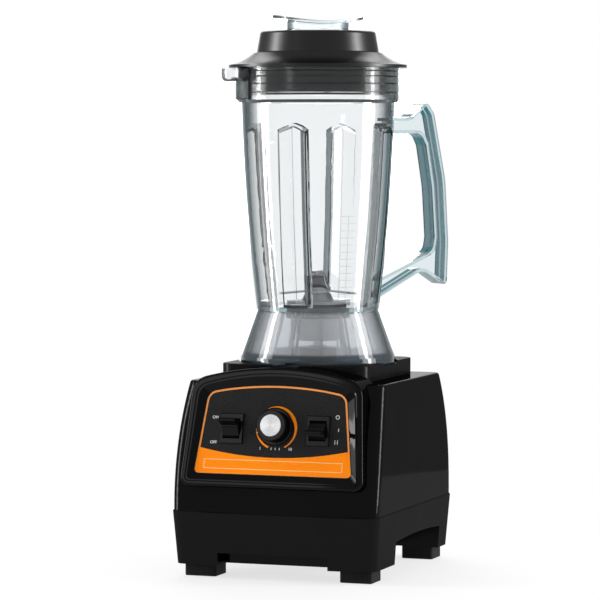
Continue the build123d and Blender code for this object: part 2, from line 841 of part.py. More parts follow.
def make_pad_screws():
    one = Pos(0, 0, housing_top_z - housing_wall) * Rot(180, 0, 0) * screw(8.0)
    return group([Pos(x, y, 0) * one for x, y in pad_screw_places()])


# ---------------------------------------------------------------- motor
def make_stator_core():
    core = disc(stator_radius, core_z, core_z + core_height)
    bore = disc(armature_radius + air_gap, core_z - 1, core_z + core_height + 1)
    window_outer = disc(stator_radius - stator_wall, core_z - 1, core_z + core_height + 1)
    poles = Pos(0, 0, core_z + core_height / 2) * Box(44, 2 * stator_radius, core_height + 4)
    core -= window_outer - poles
    core -= bore
    for x, y in motor_bolt_places():
        core -= Pos(x, y - jar_y, 0) * disc(motor_bolt_radius + 5.0, 0, 300)
    return on_axis(core)


def make_field_coils():
    coils = []
    for side in (-1, 1):
        outer = Pos(side * 30.4, 0, core_z + core_height / 2) * Box(8, 54, core_height + 2 * coil_height)
        keep = disc(stator_radius - stator_wall - 0.3, 0, 300)
        clear = disc(armature_radius + 1.5, 0, 300)
        end_low = disc(stator_radius - 8, core_z - coil_height, core_z - 0.2)
        end_high = disc(stator_radius - 8, core_z + core_height + 0.2, core_z + core_height + coil_height)
        coils.append((outer & (keep + end_low + end_high)) - clear)
    return group([on_axis(coil) for coil in coils])


def bracket(z, arm_z):
    """A motor end bracket: a cross-shaped plate with a bearing seat."""
    half = bracket_half
    plate = block(-half, half, -half, half, z, z + bracket_thickness)
    plate = fillet(plate.edges().filter_by(Axis.Z), 12.0)
    for sx in (-1, 1):
        plate -= Pos(sx * half, 0, z) * Cylinder(bracket_scallop, 40)
        plate -= Pos(0, sx * half, z) * Cylinder(bracket_scallop, 40)
    seat = disc(bearing_radius + 4.0, min(z, arm_z), max(z + bracket_thickness, arm_z + bearing_height))
    shape = plate + seat
    shape -= disc(bearing_radius, arm_z, arm_z + bearing_height)
    shape -= disc(bearing_radius - 4.0, 0, 300)
    for x, y in motor_bolt_places():
        shape -= Pos(x, y - jar_y, z) * Cylinder(motor_bolt_radius, 40)
    return on_axis(shape)


upper_bearing_z = upper_bracket_z + bracket_thickness - bearing_height
lower_bearing_z = lower_bracket_z + bracket_thickness - bearing_height + 2.0


def make_motor_bearings():
    rings = [ring(bearing_radius, motor_shaft_radius + running_gap, z, z + bearing_height)
             for z in (lower_bearing_z, upper_bearing_z)]
    return group([on_axis(one) for one in rings])


def make_motor_bolts():
    """Long bolts that clamp both brackets and hang the motor from the housing's top."""
    low = lower_bracket_z
    high = housing_top_z - housing_wall - 0.5
    rod = disc(motor_bolt_radius - 0.1, low, high)
    head = Pos(0, 0, low - 3) * extrude(RegularPolygon(4.6, 6), 3)
    return group([Pos(x, y, 0) * (rod + head) for x, y in motor_bolt_places()])


def make_isolators():
    low = upper_bracket_z + bracket_thickness
    high = housing_top_z - housing_wall
    one = ring(isolator_radius, motor_bolt_radius, low, high)
    return group([Pos(x, y, 0) * one for x, y in motor_bolt_places()])


def make_spacers():
    """Tubes on the bolts that hold the brackets apart."""
    one = ring(motor_bolt_radius + 1.8, motor_bolt_radius, lower_bracket_z + bracket_thickness,
               upper_bracket_z)
    return group([Pos(x, y, 0) * one for x, y in motor_bolt_places()])


def make_air_duct():
    inner = fan_radius + duct_gap
    duct = ring(inner + duct_wall, inner, floor_top_z, lower_bracket_z - 3.5)
    duct += ring(inner + 8, inner, floor_top_z, floor_top_z + 2.5)
    return on_axis(duct)


def make_brush_holders():
    holders = []
    z = commutator_z + commutator_height / 2
    start = commutator_radius + 1.5
    length = brush_length + 4
    for side in (-1, 1):
        holder = Pos(0, side * (start + length / 2), z) * Box(2 * brush_half + 4, length, 2 * brush_half + 4)
        holder -= Pos(0, side * (start + length / 2 - 2), z) * Box(2 * brush_half + 0.2, length,
                                                                  2 * brush_half + 0.2)
        foot_low = lower_bracket_z + bracket_thickness
        foot_y = side * (start + length - 5)
        holder += Pos(0, foot_y, (foot_low + z - brush_half - 2) / 2) * Box(
            10, 10, z - brush_half - 2 - foot_low)
        holders.append(on_axis(holder))
    return group(holders)


def make_carbon_brushes():
    z = commutator_z + commutator_height / 2
    start = commutator_radius + 0.3
    brush = Box(2 * brush_half, brush_length, 2 * brush_half)
    return group([on_axis(Pos(0, side * (start + brush_length / 2), z) * brush) for side in (-1, 1)])


def make_motor_shaft():
    return on_axis(disc(motor_shaft_radius, shaft_bottom_z, socket_top_z - socket_depth - 2.0))


def make_armature_core():
    core = ring(armature_radius, motor_shaft_radius, core_z, core_z + core_height)
    slots = 12
    for number in range(slots):
        core -= Rot(0, 0, number * 360 / slots) * Pos(armature_radius, 0, core_z + core_height / 2) * Box(
            7.0, 2.4, core_height + 2)
    return on_axis(core)


def make_armature_windings():
    low = ring(armature_radius - 3, motor_shaft_radius, core_z - coil_height, core_z)
    high = ring(armature_radius - 3, motor_shaft_radius, core_z + core_height,
                core_z + core_height + coil_height)
    low = fillet(low.edges().sort_by(Axis.Z)[:1], 2.0)
    return group([on_axis(low), on_axis(high)])


def make_commutator():
    ring_shape = ring(commutator_radius, motor_shaft_radius, commutator_z,
                      commutator_z + commutator_height)
    bars = 24
    for number in range(bars):
        ring_shape -= Rot(0, 0, number * 360 / bars) * Pos(
            commutator_radius, 0, commutator_z + commutator_height / 2) * Box(1.6, 0.5, commutator_height + 2)
    return on_axis(ring_shape)


def make_cooling_fan():
    hub = ring(11.0, motor_shaft_radius, fan_bottom_z, fan_bottom_z + fan_height)
    plate = ring(fan_radius, motor_shaft_radius, fan_bottom_z + fan_height - 1.6,
                 fan_bottom_z + fan_height)
    shape = hub + plate
    for number in range(fan_blades):
        blade = Pos((fan_radius + 10) / 2, 0, fan_bottom_z + fan_height / 2) * Rot(0, 0, 22) * Box(
            fan_radius - 14, 1.4, fan_height)
        shape += Rot(0, 0, number * 360 / fan_blades) * blade
    shape &= ring(fan_radius, motor_shaft_radius, fan_bottom_z, fan_bottom_z + fan_height)
    return on_axis(shape)


def star_face(root, tip, teeth):
    """A spline section with straight-sided teeth."""
    points = []
    for number in range(teeth):
        centre = 360 / teeth * number
        step = 360 / teeth
        for radius, offset in ((root, -0.32), (tip, -0.17), (tip, 0.17), (root, 0.32)):
            angle = math.radians(centre + offset * step)
            points.append((radius * math.cos(angle), radius * math.sin(angle)))
    return make_face(Polyline(*points, close=True))


def make_drive_socket():
    body = disc(socket_radius, socket_bottom_z, socket_top_z)
    body = fillet(body.edges().sort_by(Axis.Z)[-1], 1.2)
    body -= disc(motor_shaft_radius, 0, socket_top_z - socket_depth - 2.0)
    star = star_face(spline_root_radius + moving_gap, spline_tip_radius + moving_gap, spline_teeth)
    body -= Pos(0, 0, socket_top_z - socket_depth) * extrude(star, socket_depth + 1)
    return on_axis(body)


# ---------------------------------------------------------------- blade assembly
def make_blade_holder():
    floor_top = jug_floor_z + jug_floor_thickness
    flange_low = floor_top + blade_gasket_thickness
    body = disc(holder_barrel_radius, holder_bottom_z, flange_low + 0.5)
    body += disc(holder_flange_radius, flange_low, flange_low + holder_flange_height)
    body += Pos(0, 0, flange_low) * Cone(holder_boss_radius + 5, holder_boss_radius,
                                         holder_boss_top_z - flange_low,
                                         align=(Align.CENTER, Align.CENTER, Align.MIN))
    body -= disc(blade_bearing_radius, holder_bottom_z - 1, holder_boss_top_z - 6.0)
    body -= disc(blade_bearing_radius - 3, 0, 400)
    body += ring(blade_bearing_radius + 0.5, blade_bearing_radius - 3,
                 holder_bottom_z + blade_bearing_height + 2, holder_boss_top_z - 14.0)
    return on_axis(body)


def blade_bearing_levels():
    return (holder_bottom_z + 2.0, holder_boss_top_z - 6.0 - blade_bearing_height)


def make_blade_bearings():
    rings = [ring(blade_bearing_radius, blade_shaft_radius + running_gap, z, z + blade_bearing_height)
             for z in blade_bearing_levels()]
    return group([on_axis(one) for one in rings])


def make_shaft_seal():
    low = holder_boss_top_z - 6.0
    return on_axis(ring(blade_bearing_radius - 3, blade_shaft_radius + running_gap, low, low + 5))


def make_blade_gasket():
    floor_top = jug_floor_z + jug_floor_thickness
    return on_axis(ring(holder_flange_radius, holder_barrel_radius, floor_top,
                        floor_top + blade_gasket_thickness))


def make_lock_nut():
    nut = ring(lock_nut_radius, holder_barrel_radius, jug_floor_z - lock_nut_height, jug_floor_z)
    for number in range(lock_nut_teeth):
        nut -= Rot(0, 0, number * 360 / lock_nut_teeth) * Pos(
            lock_nut_radius, 0, jug_floor_z - lock_nut_height) * Box(5.0, 6.0, 9.0)
    return on_axis(nut)


def make_blade_shaft():
    top = lower_blade_z + 14.0
    return on_axis(disc(blade_shaft_radius, spline_bottom_z + 3, top))


def make_drive_spline():
    star = star_face(spline_root_radius, spline_tip_radius, spline_teeth)
    body = Pos(0, 0, spline_bottom_z) * extrude(star, spline_height)
    body = body & (Pos(0, 0, spline_bottom_z) * Cone(spline_tip_radius - 1.5, spline_tip_radius + 30,
                                                     36, align=(Align.CENTER, Align.CENTER, Align.MIN)))
    body -= disc(blade_shaft_radius, spline_bottom_z + 3, 400)
    return on_axis(body)


def wing(rise, reach):
    """One bent wing that points along +X from its root."""
    root = 9.0
    length = (reach - root) / math.cos(math.radians(rise))
    outline = Polyline((0, -blade_root_half), (length * 0.55, -blade_root_half),
                       (length, -blade_tip_half), (length * 0.94, blade_tip_half + 1),
                       (length * 0.4, blade_root_half - 2), (0, blade_root_half), close=True)
    plate = extrude(make_face(outline), blade_thickness)
    return Pos(root, 0, 0) * Rot(0, -rise, 0) * plate


def make_blade(z, rise, turn):
    hub = disc(blade_root_half + 3.5, 0, blade_thickness)
    blade = hub + wing(rise, blade_reach) + Rot(0, 0, 180) * wing(rise, blade_reach)
    blade -= Cylinder(blade_shaft_radius, 20)
    return on_axis(Rot(0, 0, turn) * Pos(0, 0, z) * blade)


def make_blades():
    lower = make_blade(lower_blade_z, -6.0, 20.0)
    upper = make_blade(lower_blade_z + blade_thickness + 0.6, blade_rise, 110.0)
    return group([lower, upper])


def make_blade_spacers():
    low = ring(8.0, blade_shaft_radius, holder_boss_top_z + moving_gap, lower_blade_z)
    middle = ring(7.0, blade_shaft_radius, lower_blade_z + blade_thickness,
                  lower_blade_z + blade_thickness + 0.6)
    return group([on_axis(low), on_axis(middle)])


def make_blade_nut():
    low = lower_blade_z + 2 * blade_thickness + 0.6
    nut = Pos(0, 0, low) * extrude(RegularPolygon(blade_nut_radius, 6), blade_nut_height * 0.6)
    dome = disc(blade_nut_radius * 0.8, low, low + blade_nut_height + 2.5)
    dome = fillet(dome.edges().sort_by(Axis.Z)[-1], 3.0)
    nut = nut + dome - disc(blade_shaft_radius, 0, lower_blade_z + 14.0)
    return on_axis(nut)


# ---------------------------------------------------------------- jug
skirt_bottom_z = pad_top_z - pad_recess_depth
cavity_floor_z = jug_floor_z + jug_floor_thickness


def body_curve(inset, low_z, high_z):
    """The jug's side as an arc, inset by a wall, with its ends at two heights."""
    return ThreePointArc((waist_radius - inset, 0, low_z), (jug_middle_radius - inset, 0, jug_middle_z),
                         (jug_top_radius - inset, 0, high_z))


def jug_outer():
    """The whole outer form, as if solid."""
    edges = [
        Line((0, 0, skirt_bottom_z), (skirt_radius - 0.8, 0, skirt_bottom_z)),
        Line((skirt_radius - 0.8, 0, skirt_bottom_z), (skirt_radius, 0, skirt_bottom_z + 1.5)),
        Line((skirt_radius, 0, skirt_bottom_z + 1.5), (skirt_radius, 0, skirt_bottom_z + skirt_lip_height)),
        Line((skirt_radius, 0, skirt_bottom_z + skirt_lip_height), (waist_radius + 0.8, 0, jug_floor_z - 2)),
        Line((waist_radius + 0.8, 0, jug_floor_z - 2), (waist_radius, 0, jug_floor_z)),
        body_curve(0, jug_floor_z, band_bottom_z),
        Line((jug_top_radius, 0, band_bottom_z), (band_radius - 2, 0, band_bottom_z)),
        Line((band_radius - 2, 0, band_bottom_z), (band_radius, 0, band_bottom_z + band_bevel)),
    ]
    last = (band_radius, 0, band_bottom_z + band_bevel)
    for z in band_groove_heights:
        low_edge = (band_radius, 0, z - band_groove_half)
        valley = (band_radius - band_groove, 0, z)
        high_edge = (band_radius, 0, z + band_groove_half)
        edges += [Line(last, low_edge), Line(low_edge, valley), Line(valley, high_edge)]
        last = high_edge
    edges += [Line(last, (band_radius, 0, jug_rim_z)), Line((band_radius, 0, jug_rim_z), (0, 0, jug_rim_z)),
              Line((0, 0, jug_rim_z), (0, 0, skirt_bottom_z))]
    return revolve(make_face(Curve() + edges), Axis.Z)


def jug_cavity():
    shoulder = band_bottom_z + mouth_shoulder
    edges = [
        Line((0, 0, cavity_floor_z), (waist_radius - jug_wall, 0, cavity_floor_z)),
        body_curve(jug_wall, cavity_floor_z, band_bottom_z),
        Line((jug_top_radius - jug_wall, 0, band_bottom_z), (mouth_radius, 0, shoulder)),
        Line((mouth_radius, 0, shoulder), (mouth_radius, 0, jug_rim_z + 1)),
        Line((mouth_radius, 0, jug_rim_z + 1), (0, 0, jug_rim_z + 1)),
        Line((0, 0, jug_rim_z + 1), (0, 0, cavity_floor_z)),
    ]
    return revolve(make_face(Curve() + edges), Axis.Z)


def skirt_cavity():
    wall = skirt_wall
    return turned([(0, skirt_bottom_z - 1), (skirt_radius - wall, skirt_bottom_z - 1),
                   (skirt_radius - wall, skirt_bottom_z + skirt_lip_height - 1),
                   (waist_radius - wall, jug_floor_z - 2), (waist_radius - wall - 2, jug_floor_z),
                   (0, jug_floor_z)])


def wall_radius(z):
    """Outer radius of the jug's side at a height, from the same arc."""
    low = (waist_radius, jug_floor_z)
    middle = (jug_middle_radius, jug_middle_z)
    high = (jug_top_radius, band_bottom_z)
    share = (z - low[1]) / (high[1] - low[1])
    chord = low[0] + (high[0] - low[0]) * share
    middle_share = (middle[1] - low[1]) / (high[1] - low[1])
    sag = middle[0] - (low[0] + (high[0] - low[0]) * middle_share)
    return chord + sag * share * (1 - share) / (middle_share * (1 - middle_share))


def flute(grow):
    """A wedge-shaped inward flute at the front, enlarged by the wall for its inner face."""
    def section(z):
        radius = wall_radius(z)
        half = flute_half_width + grow
        inner = flute_inner_half + grow * 0.7
        deep = radius - flute_depth - grow
        outline = Polyline((-half, -radius + 2.5), (-inner, -deep), (inner, -deep), (half, -radius + 2.5),
                           (half, -radius - 6), (-half, -radius - 6), close=True)
        return Pos(0, 0, z) * make_face(outline)
    low = cavity_floor_z + 3 - grow
    levels = [low, (low + flute_top_z) / 2, flute_top_z + flute_peak + 2 + grow]
    wedge = loft([section(z) for z in levels], ruled=True)
    half = flute_half_width + grow + 0.5
    gable = Polyline((-half, 0, low - 1), (half, 0, low - 1), (half, 0, flute_top_z + grow),
                     (0, 0, flute_top_z + flute_peak + grow), (-half, 0, flute_top_z + grow), close=True)
    prism = extrude(make_face(gable), 200, both=True)
    return wedge & prism


def make_jug():
    jug = jug_outer() - jug_cavity() - skirt_cavity()
    for number in range(flute_count):
        turn = Rot(0, 0, number * 360 / flute_count)
        jug += (turn * flute(jug_wall)) & jug_cavity_limit()
        jug -= turn * flute(0)
    # ribs under the floor stiffen the skirt
    rib_low = skirt_bottom_z + skirt_lip_height + skirt_rib_rise
    rib_zone = skirt_cavity() & turned([
        (skirt_radius - skirt_wall - skirt_rib_depth, rib_low), (skirt_radius, rib_low),
        (skirt_radius, jug_floor_z + 1), (waist_radius - skirt_wall - skirt_rib_depth, jug_floor_z + 1)])
    for number in range(skirt_ribs):
        rib = block(waist_radius / 2, skirt_radius, -skirt_rib_width / 2, skirt_rib_width / 2,
                    skirt_bottom_z, jug_floor_z + 1)
        jug += (Rot(0, 0, number * 360 / skirt_ribs) * rib) & rib_zone
    # opening for the blade assembly, and the locating notch at the front
    jug -= disc(holder_barrel_radius, jug_floor_z - 5, cavity_floor_z + 1)
    jug -= block(-notch_half_width, notch_half_width, -skirt_radius - 5, -skirt_radius + skirt_wall + 1.5,
                 skirt_bottom_z - 1, skirt_bottom_z + notch_height)
    # spout
    turn = Rot(0, 0, spout_angle)
    jug += turn * spout_solid()
    jug -= turn * spout_channel()
    return on_axis(jug)


def jug_cavity_limit():
    """What the ridges inside the jug may fill: the body between floor and mouth."""
    return disc(jug_top_radius, cavity_floor_z - 1, band_bottom_z + 2) & jug_outer()


def spout_plan(half, reach):
    straight = reach - half
    root = waist_radius
    return Curve() + [
        Line((root, -half), (straight, -half)),
        ThreePointArc((straight, -half), (reach, 0), (straight, half)),
        Line((straight, half), (root, half)),
        Line((root, half), (root, -half)),
    ]


def spout_solid():
    tongue = extrude(Pos(0, 0, spout_top_z - spout_depth) * make_face(
        spout_plan(spout_half_width, spout_reach)), spout_depth)
    tongue = fillet(tongue.faces().sort_by(Axis.Z)[0].edges(), spout_round)
    root = disc(spout_root_radius, band_bottom_z + band_bevel, spout_top_z) & block(
        waist_radius, spout_reach, -spout_half_width, spout_half_width, band_bottom_z, jug_rim_z)
    return (tongue + root) - disc(mouth_radius + 2.0, band_bottom_z, jug_rim_z)


def spout_channel():
    half = spout_half_width - spout_wall
    return extrude(Pos(0, 0, spout_top_z - spout_depth + spout_wall) * make_face(
        spout_plan(half, spout_reach - spout_wall)), spout_depth + 5)


def make_jug_handle():
    top = handle_top_z
    low = handle_low_z
    reach = handle_reach
    root = waist_radius - 8.0
    arm = handle_arm
    outer = FilletPolyline(
        (root, top), (reach - 41.3, top), (reach - 23.3, top + handle_horn), (reach - 15.3, top + 4),
        (reach - 3.3, (top + low) / 2 + 22), (reach, (top + low) / 2 - 38), (reach - 1.7, low),
        (reach - 27.3, low + 17), (root, low + 17 - handle_slope * (reach - 27.3 - root)),
        radius=[14, 4.5, 12, 90, 90, 3.5, 10])
    knuckle = low + 34.8
    inner = FilletPolyline(
        (root, knuckle - handle_slope * 0.8 * (reach - 16.8 - root)), (reach - 16.8, knuckle),
        (reach - 14.6, knuckle + 13.2), (reach - 17.5, (top + low) / 2 + 15), (reach - 23.8, top - 26),
        (reach - 29.3, top - arm), (root, top - arm), radius=[10, 9, 120, 6, 8])
    outline = Curve() + [outer, Line(outer @ 1, inner @ 0), inner, Line(inner @ 1, outer @ 0)]
    face = make_face(outline)
    body = extrude(Plane.XZ * face, handle_width / 2, both=True)
    pocket_face = offset(face, -handle_flange)
    depth = (handle_width - handle_web) / 2
    for side in (-1, 1):
        middle = side * (handle_web / 2 + depth / 2)
        pocket = extrude(Plane.XZ.offset(middle) * pocket_face, depth / 2, both=True)
        body -= pocket
    body -= jug_outer()
    return on_axis(Rot(0, 0, handle_angle) * body)


# ---------------------------------------------------------------- lid and cup
lid_plug_radius = mouth_radius - gasket_width - moving_gap


def make_lid():
    low = jug_rim_z
    plug_outer = lid_plug_radius
    plug_inner = plug_outer - lid_plug_wall
    hole = cup_radius + 0.5
    collar = hole + lid_wall
    foot_r = lid_dome_foot_radius
    foot_z = lid_dome_foot_z
    neck = foot_r + lid_neck
    top_r = lid_dome_top_radius
    edges = [
        Line((lid_radius, 0, low), (lid_radius, 0, low + lid_edge)),
        ThreePointArc((lid_radius, 0, low + lid_edge), (lid_sag_radius, 0, low + lid_sag_rise),
                      (neck, 0, foot_z - lid_step)),
        Line((neck, 0, foot_z - lid_step), (foot_r + lid_step / 2, 0, foot_z - lid_step)),
        Line((foot_r + lid_step / 2, 0, foot_z - lid_step), (foot_r, 0, foot_z)),
        Line((foot_r, 0, foot_z), (top_r, 0, lid_top_z - 2.5)),
        ThreePointArc((top_r, 0, lid_top_z - 2.5), (top_r - 0.8, 0, lid_top_z - 0.7),
                      (top_r - 2.6, 0, lid_top_z)),
        Line((top_r - 2.6, 0, lid_top_z), (hole, 0, lid_top_z)),
        Line((hole, 0, lid_top_z), (hole, 0, low + 5)),
        Line((hole, 0, low + 5), (collar, 0, low + 5)),
        Line((collar, 0, low + 5), (collar, 0, lid_top_z - lid_wall)),
        Line((collar, 0, lid_top_z - lid_wall), (top_r - lid_wall, 0, lid_top_z - lid_wall)),
        Line((top_r - lid_wall, 0, lid_top_z - lid_wall), (foot_r - lid_wall, 0, foot_z)),
        Line((foot_r - lid_wall, 0, foot_z), (plug_inner, 0, low + 3)),
        Line((plug_inner, 0, low + 3), (plug_inner, 0, low - lid_plug_depth)),
        Line((plug_inner, 0, low - lid_plug_depth), (plug_outer, 0, low - lid_plug_depth)),
        Line((plug_outer, 0, low - lid_plug_depth), (plug_outer, 0, low)),
        Line((plug_outer, 0, low), (lid_radius, 0, low)),
    ]
    return on_axis(revolve(make_face(Curve() + edges), Axis.Z))


def make_lid_gasket():
    """A rubber sleeve on the lid's plug, with lips that fill the jug's mouth."""
    inner = lid_plug_radius
    first = jug_rim_z - gasket_pitch / 2 - (gasket_lips - 1) * gasket_pitch
    sleeve = ring(inner + gasket_sleeve, inner, first - gasket_lip / 2,
                  first + (gasket_lips - 1) * gasket_pitch + gasket_lip / 2)
    for number in range(gasket_lips):
        z = first + number * gasket_pitch
        sleeve += ring(inner + gasket_width, inner, z - gasket_lip / 2, z + gasket_lip / 2)
    return on_axis(sleeve)


def bent_line(reach, lift):
    """The flange's bend as an arc through the middle, with its ends out at a reach."""
    rise = cup_flange_rise * (reach / cup_flange_radius) ** 2
    return ThreePointArc((-reach, 0, cup_flange_z + lift + rise), (0, 0, cup_flange_z + lift),
                         (reach, 0, cup_flange_z + lift + rise))


def bent_slab(reach, lift, top_z):
    """Everything between the bend line at a lift and a level above it."""
    bend = bent_line(reach, lift)
    left, right = bend @ 0, bend @ 1
    face = make_face(Curve() + [
        bend, Line(right, (reach, 0, top_z)), Line((reach, 0, top_z), (-reach, 0, top_z)),
        Line((-reach, 0, top_z), left)])
    return extrude(face, 2 * reach, both=True)


def make_measuring_cup():
    brim = lid_top_z + cup_brim
    outer = turned([(0, cup_bottom_z), (cup_bottom_radius, cup_bottom_z), (cup_radius, lid_top_z - cup_fit_height),
                    (cup_radius, lid_top_z), (cup_radius + cup_shoulder, lid_top_z),
                    (cup_radius + cup_shoulder, brim), (cup_radius, brim + cup_brim / 2),
                    (cup_radius, cup_flange_z + cup_flange_rise), (0, cup_flange_z + cup_flange_rise)])
    reach = cup_flange_radius + 1
    over = cup_flange_z + 10 * cup_flange_rise
    above = bent_slab(reach, cup_flange_thickness, over)
    flange = (bent_slab(reach, 0, over) - above) & disc(cup_flange_radius, lid_top_z, over)
    hollow = turned([(0, cup_bottom_z + cup_wall), (cup_bottom_radius - cup_wall, cup_bottom_z + cup_wall),
                     (cup_radius - cup_wall, lid_top_z - cup_fit_height), (cup_radius - cup_wall, over),
                     (0, over)])
    return on_axis(Rot(0, 0, cup_turn) * ((outer - above) + flange - hollow))


# ---------------------------------------------------------------- the parts
def build_all():
    os.makedirs("parts", exist_ok=True)
    pieces = {
        "lower_base": make_lower_base,
        "bottom_cover": make_bottom_cover,
        "rubber_feet": make_feet,
        "foot_screws": make_foot_screws,
        "housing_screws": make_housing_screws,
        "upper_housing": make_upper_housing,
        "control_panel": make_control_panel,
        "panel_label": make_panel_label,
        "power_switch_body": lambda: make_switch_body(-switch_x),
        "power_rocker": lambda: make_rocker(-switch_x, power_on_tilt),
        "pulse_switch_body": lambda: make_switch_body(switch_x),
        "pulse_rocker": lambda: make_rocker(switch_x, pulse_rest_tilt),
        "pot_body": make_pot_body,
        "pot_nut": make_pot_nut,
        "pot_shaft": make_pot_shaft,
        "speed_knob": make_speed_knob,
        "knob_cap": make_knob_cap,
        "control_board": make_control_board,
        "board_heat_sink": make_heat_sink,
        "board_capacitor": make_capacitor,
        "terminal_block": make_terminal_block,
        "cord_bush": make_cord_bush,
        "reset_switch_body": make_reset_body,
        "reset_button": make_reset_button,
        "jar_pad": make_jar_pad,
        "pad_screws": make_pad_screws,
        "stator_core": make_stator_core,
        "field_coils": make_field_coils,
        "lower_motor_bracket": lambda: bracket(lower_bracket_z, lower_bearing_z),
        "upper_motor_bracket": lambda: bracket(upper_bracket_z, upper_bearing_z),
        "motor_bearings": make_motor_bearings,
        "motor_bolts": make_motor_bolts,
        "motor_isolators": make_isolators,
        "motor_spacers": make_spacers,
        "air_duct": make_air_duct,
        "brush_holders": make_brush_holders,
        "carbon_brushes": make_carbon_brushes,
        "motor_shaft": make_motor_shaft,
        "armature_core": make_armature_core,
        "armature_windings": make_armature_windings,
        "commutator": make_commutator,
        "cooling_fan": make_cooling_fan,
        "drive_socket": make_drive_socket,
        "jug": make_jug,
        "jug_handle": make_jug_handle,
        "blade_holder": make_blade_holder,
        "blade_bearings": make_blade_bearings,
        "shaft_seal": make_shaft_seal,
        "blade_gasket": make_blade_gasket,
        "lock_nut": make_lock_nut,
        "blade_shaft": make_blade_shaft,
        "drive_spline": make_drive_spline,
        "blades": make_blades,
        "blade_spacers": make_blade_spacers,
        "blade_nut": make_blade_nut,
        "lid": make_lid,
        "lid_gasket": make_lid_gasket,
        "measuring_cup": make_measuring_cup,
    }
    for name, make in pieces.items():
        save(make(), name)


build_all()
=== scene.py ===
"""Looks of the countertop blender: finishes, printed panel, scale on the jug, studio and camera.

Metres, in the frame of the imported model: +Z is up, the panel faces -Y, and the jug's axis stands at JAR_Y.
Only places and sizes on the panel are in millimetres: x across it, and up its slope from the middle of its foot.
"""
from math import atan2, cos, hypot, pi, radians, sin

import bmesh
import bpy
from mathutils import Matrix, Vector


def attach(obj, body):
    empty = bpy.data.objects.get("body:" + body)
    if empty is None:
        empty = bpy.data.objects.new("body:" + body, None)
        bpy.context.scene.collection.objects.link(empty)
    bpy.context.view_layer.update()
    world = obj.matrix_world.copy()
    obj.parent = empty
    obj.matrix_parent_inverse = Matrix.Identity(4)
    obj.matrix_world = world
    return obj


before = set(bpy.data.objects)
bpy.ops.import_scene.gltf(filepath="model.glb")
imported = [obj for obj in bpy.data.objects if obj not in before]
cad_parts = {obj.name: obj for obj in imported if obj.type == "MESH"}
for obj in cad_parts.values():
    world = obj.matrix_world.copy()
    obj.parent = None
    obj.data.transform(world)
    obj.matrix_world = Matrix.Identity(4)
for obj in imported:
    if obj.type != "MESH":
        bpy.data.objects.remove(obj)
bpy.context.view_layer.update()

MM = 0.001
JAR_Y = 0.013

# ---------------------------------------------------------------- node helpers

# The Mix node's sockets share their names between data types, so they go by number.
MIX_FLOAT_A, MIX_FLOAT_B = 2, 3
MIX_COLOUR_A, MIX_COLOUR_B = 6, 7
MIX_COLOUR_OUT = 2


def tree_of(owner):
    """The emptied node tree of a material or a world."""
    owner.use_nodes = True
    owner.node_tree.nodes.clear()
    return owner.node_tree


def add(tree, kind, **values):
    """Adds a node. A name that starts with p_ sets one of its properties, any other name an input socket."""
    node = tree.nodes.new("ShaderNode" + kind)
    for key, value in values.items():
        if key.startswith("p_"):
            setattr(node, key[2:], value)
        else:
            node.inputs[key.replace("_", " ")].default_value = value
    return node


def link(tree, source, out, target, into):
    tree.links.new(source.outputs[out], target.inputs[into])


def rgb(red, green, blue):
    return (red, green, blue, 1.0)


def sized_noise(tree, coordinates, size, detail=3.0, stretch=(1.0, 1.0, 1.0)):
    """Noise whose grains measure about `size` metres, times `stretch` along each axis."""
    mapping = add(tree, "Mapping")
    mapping.inputs["Scale"].default_value = [1.0 / (size * s) for s in stretch]
    link(tree, coordinates, "Object", mapping, "Vector")
    noise = add(tree, "TexNoise", Scale=1.0, Detail=detail, Roughness=0.55)
    link(tree, mapping, "Vector", noise, "Vector")
    return noise


def ranged(tree, noise, low, high):
    """Spreads the middle of a noise, where nearly all of it lies, over low to high."""
    node = add(tree, "MapRange", From_Min=0.3, From_Max=0.7, To_Min=low, To_Max=high)
    link(tree, noise, 0, node, "Value")
    return node


def mixed(tree, colour, other, weight):
    """Two colours mixed by the first output of the node `weight`."""
    mix = add(tree, "Mix", p_data_type="RGBA")
    mix.inputs[MIX_COLOUR_A].default_value = colour
    mix.inputs[MIX_COLOUR_B].default_value = other
    link(tree, weight, 0, mix, 0)
    return mix


# ---------------------------------------------------------------- finishes

RELIEF_DEPTH = 0.05 * MM


def finish(name, colour, other, roughness, spread, grain, bump, stretch=(1.0, 1.0, 1.0), patch=0.05, **sockets):
    """A moulded or metal finish: two close colours in soft patches, with grain in gloss and relief."""
    material = bpy.data.materials.new(name)
    tree = tree_of(material)
    coordinates = add(tree, "TexCoord")
    patches = sized_noise(tree, coordinates, patch)
    grains = sized_noise(tree, coordinates, grain, 4.0, stretch)
    blend = mixed(tree, colour, other, ranged(tree, patches, 0.0, 1.0))
    gloss = ranged(tree, grains, roughness - spread, roughness + spread)
    relief = add(tree, "Bump", Strength=bump, Distance=RELIEF_DEPTH)
    link(tree, grains, 0, relief, "Height")
    shader = add(tree, "BsdfPrincipled", **sockets)
    link(tree, blend, MIX_COLOUR_OUT, shader, "Base Color")
    link(tree, gloss, 0, shader, "Roughness")
    link(tree, relief, "Normal", shader, "Normal")
    link(tree, relief, "Normal", shader, "Coat Normal")
    output = add(tree, "OutputMaterial")
    link(tree, shader, 0, output, "Surface")
    return material


def coated_black(name, colour, other, roughness, spread, grain, bump, coat, coat_roughness):
    """A black plastic that shines by its coat alone, so it stays dark where it reflects the pale room."""
    return finish(name, colour, other, roughness, spread, grain, bump, Specular_IOR_Level=0.0,
                  Coat_Weight=coat, Coat_Roughness=coat_roughness, Coat_IOR=2.0)


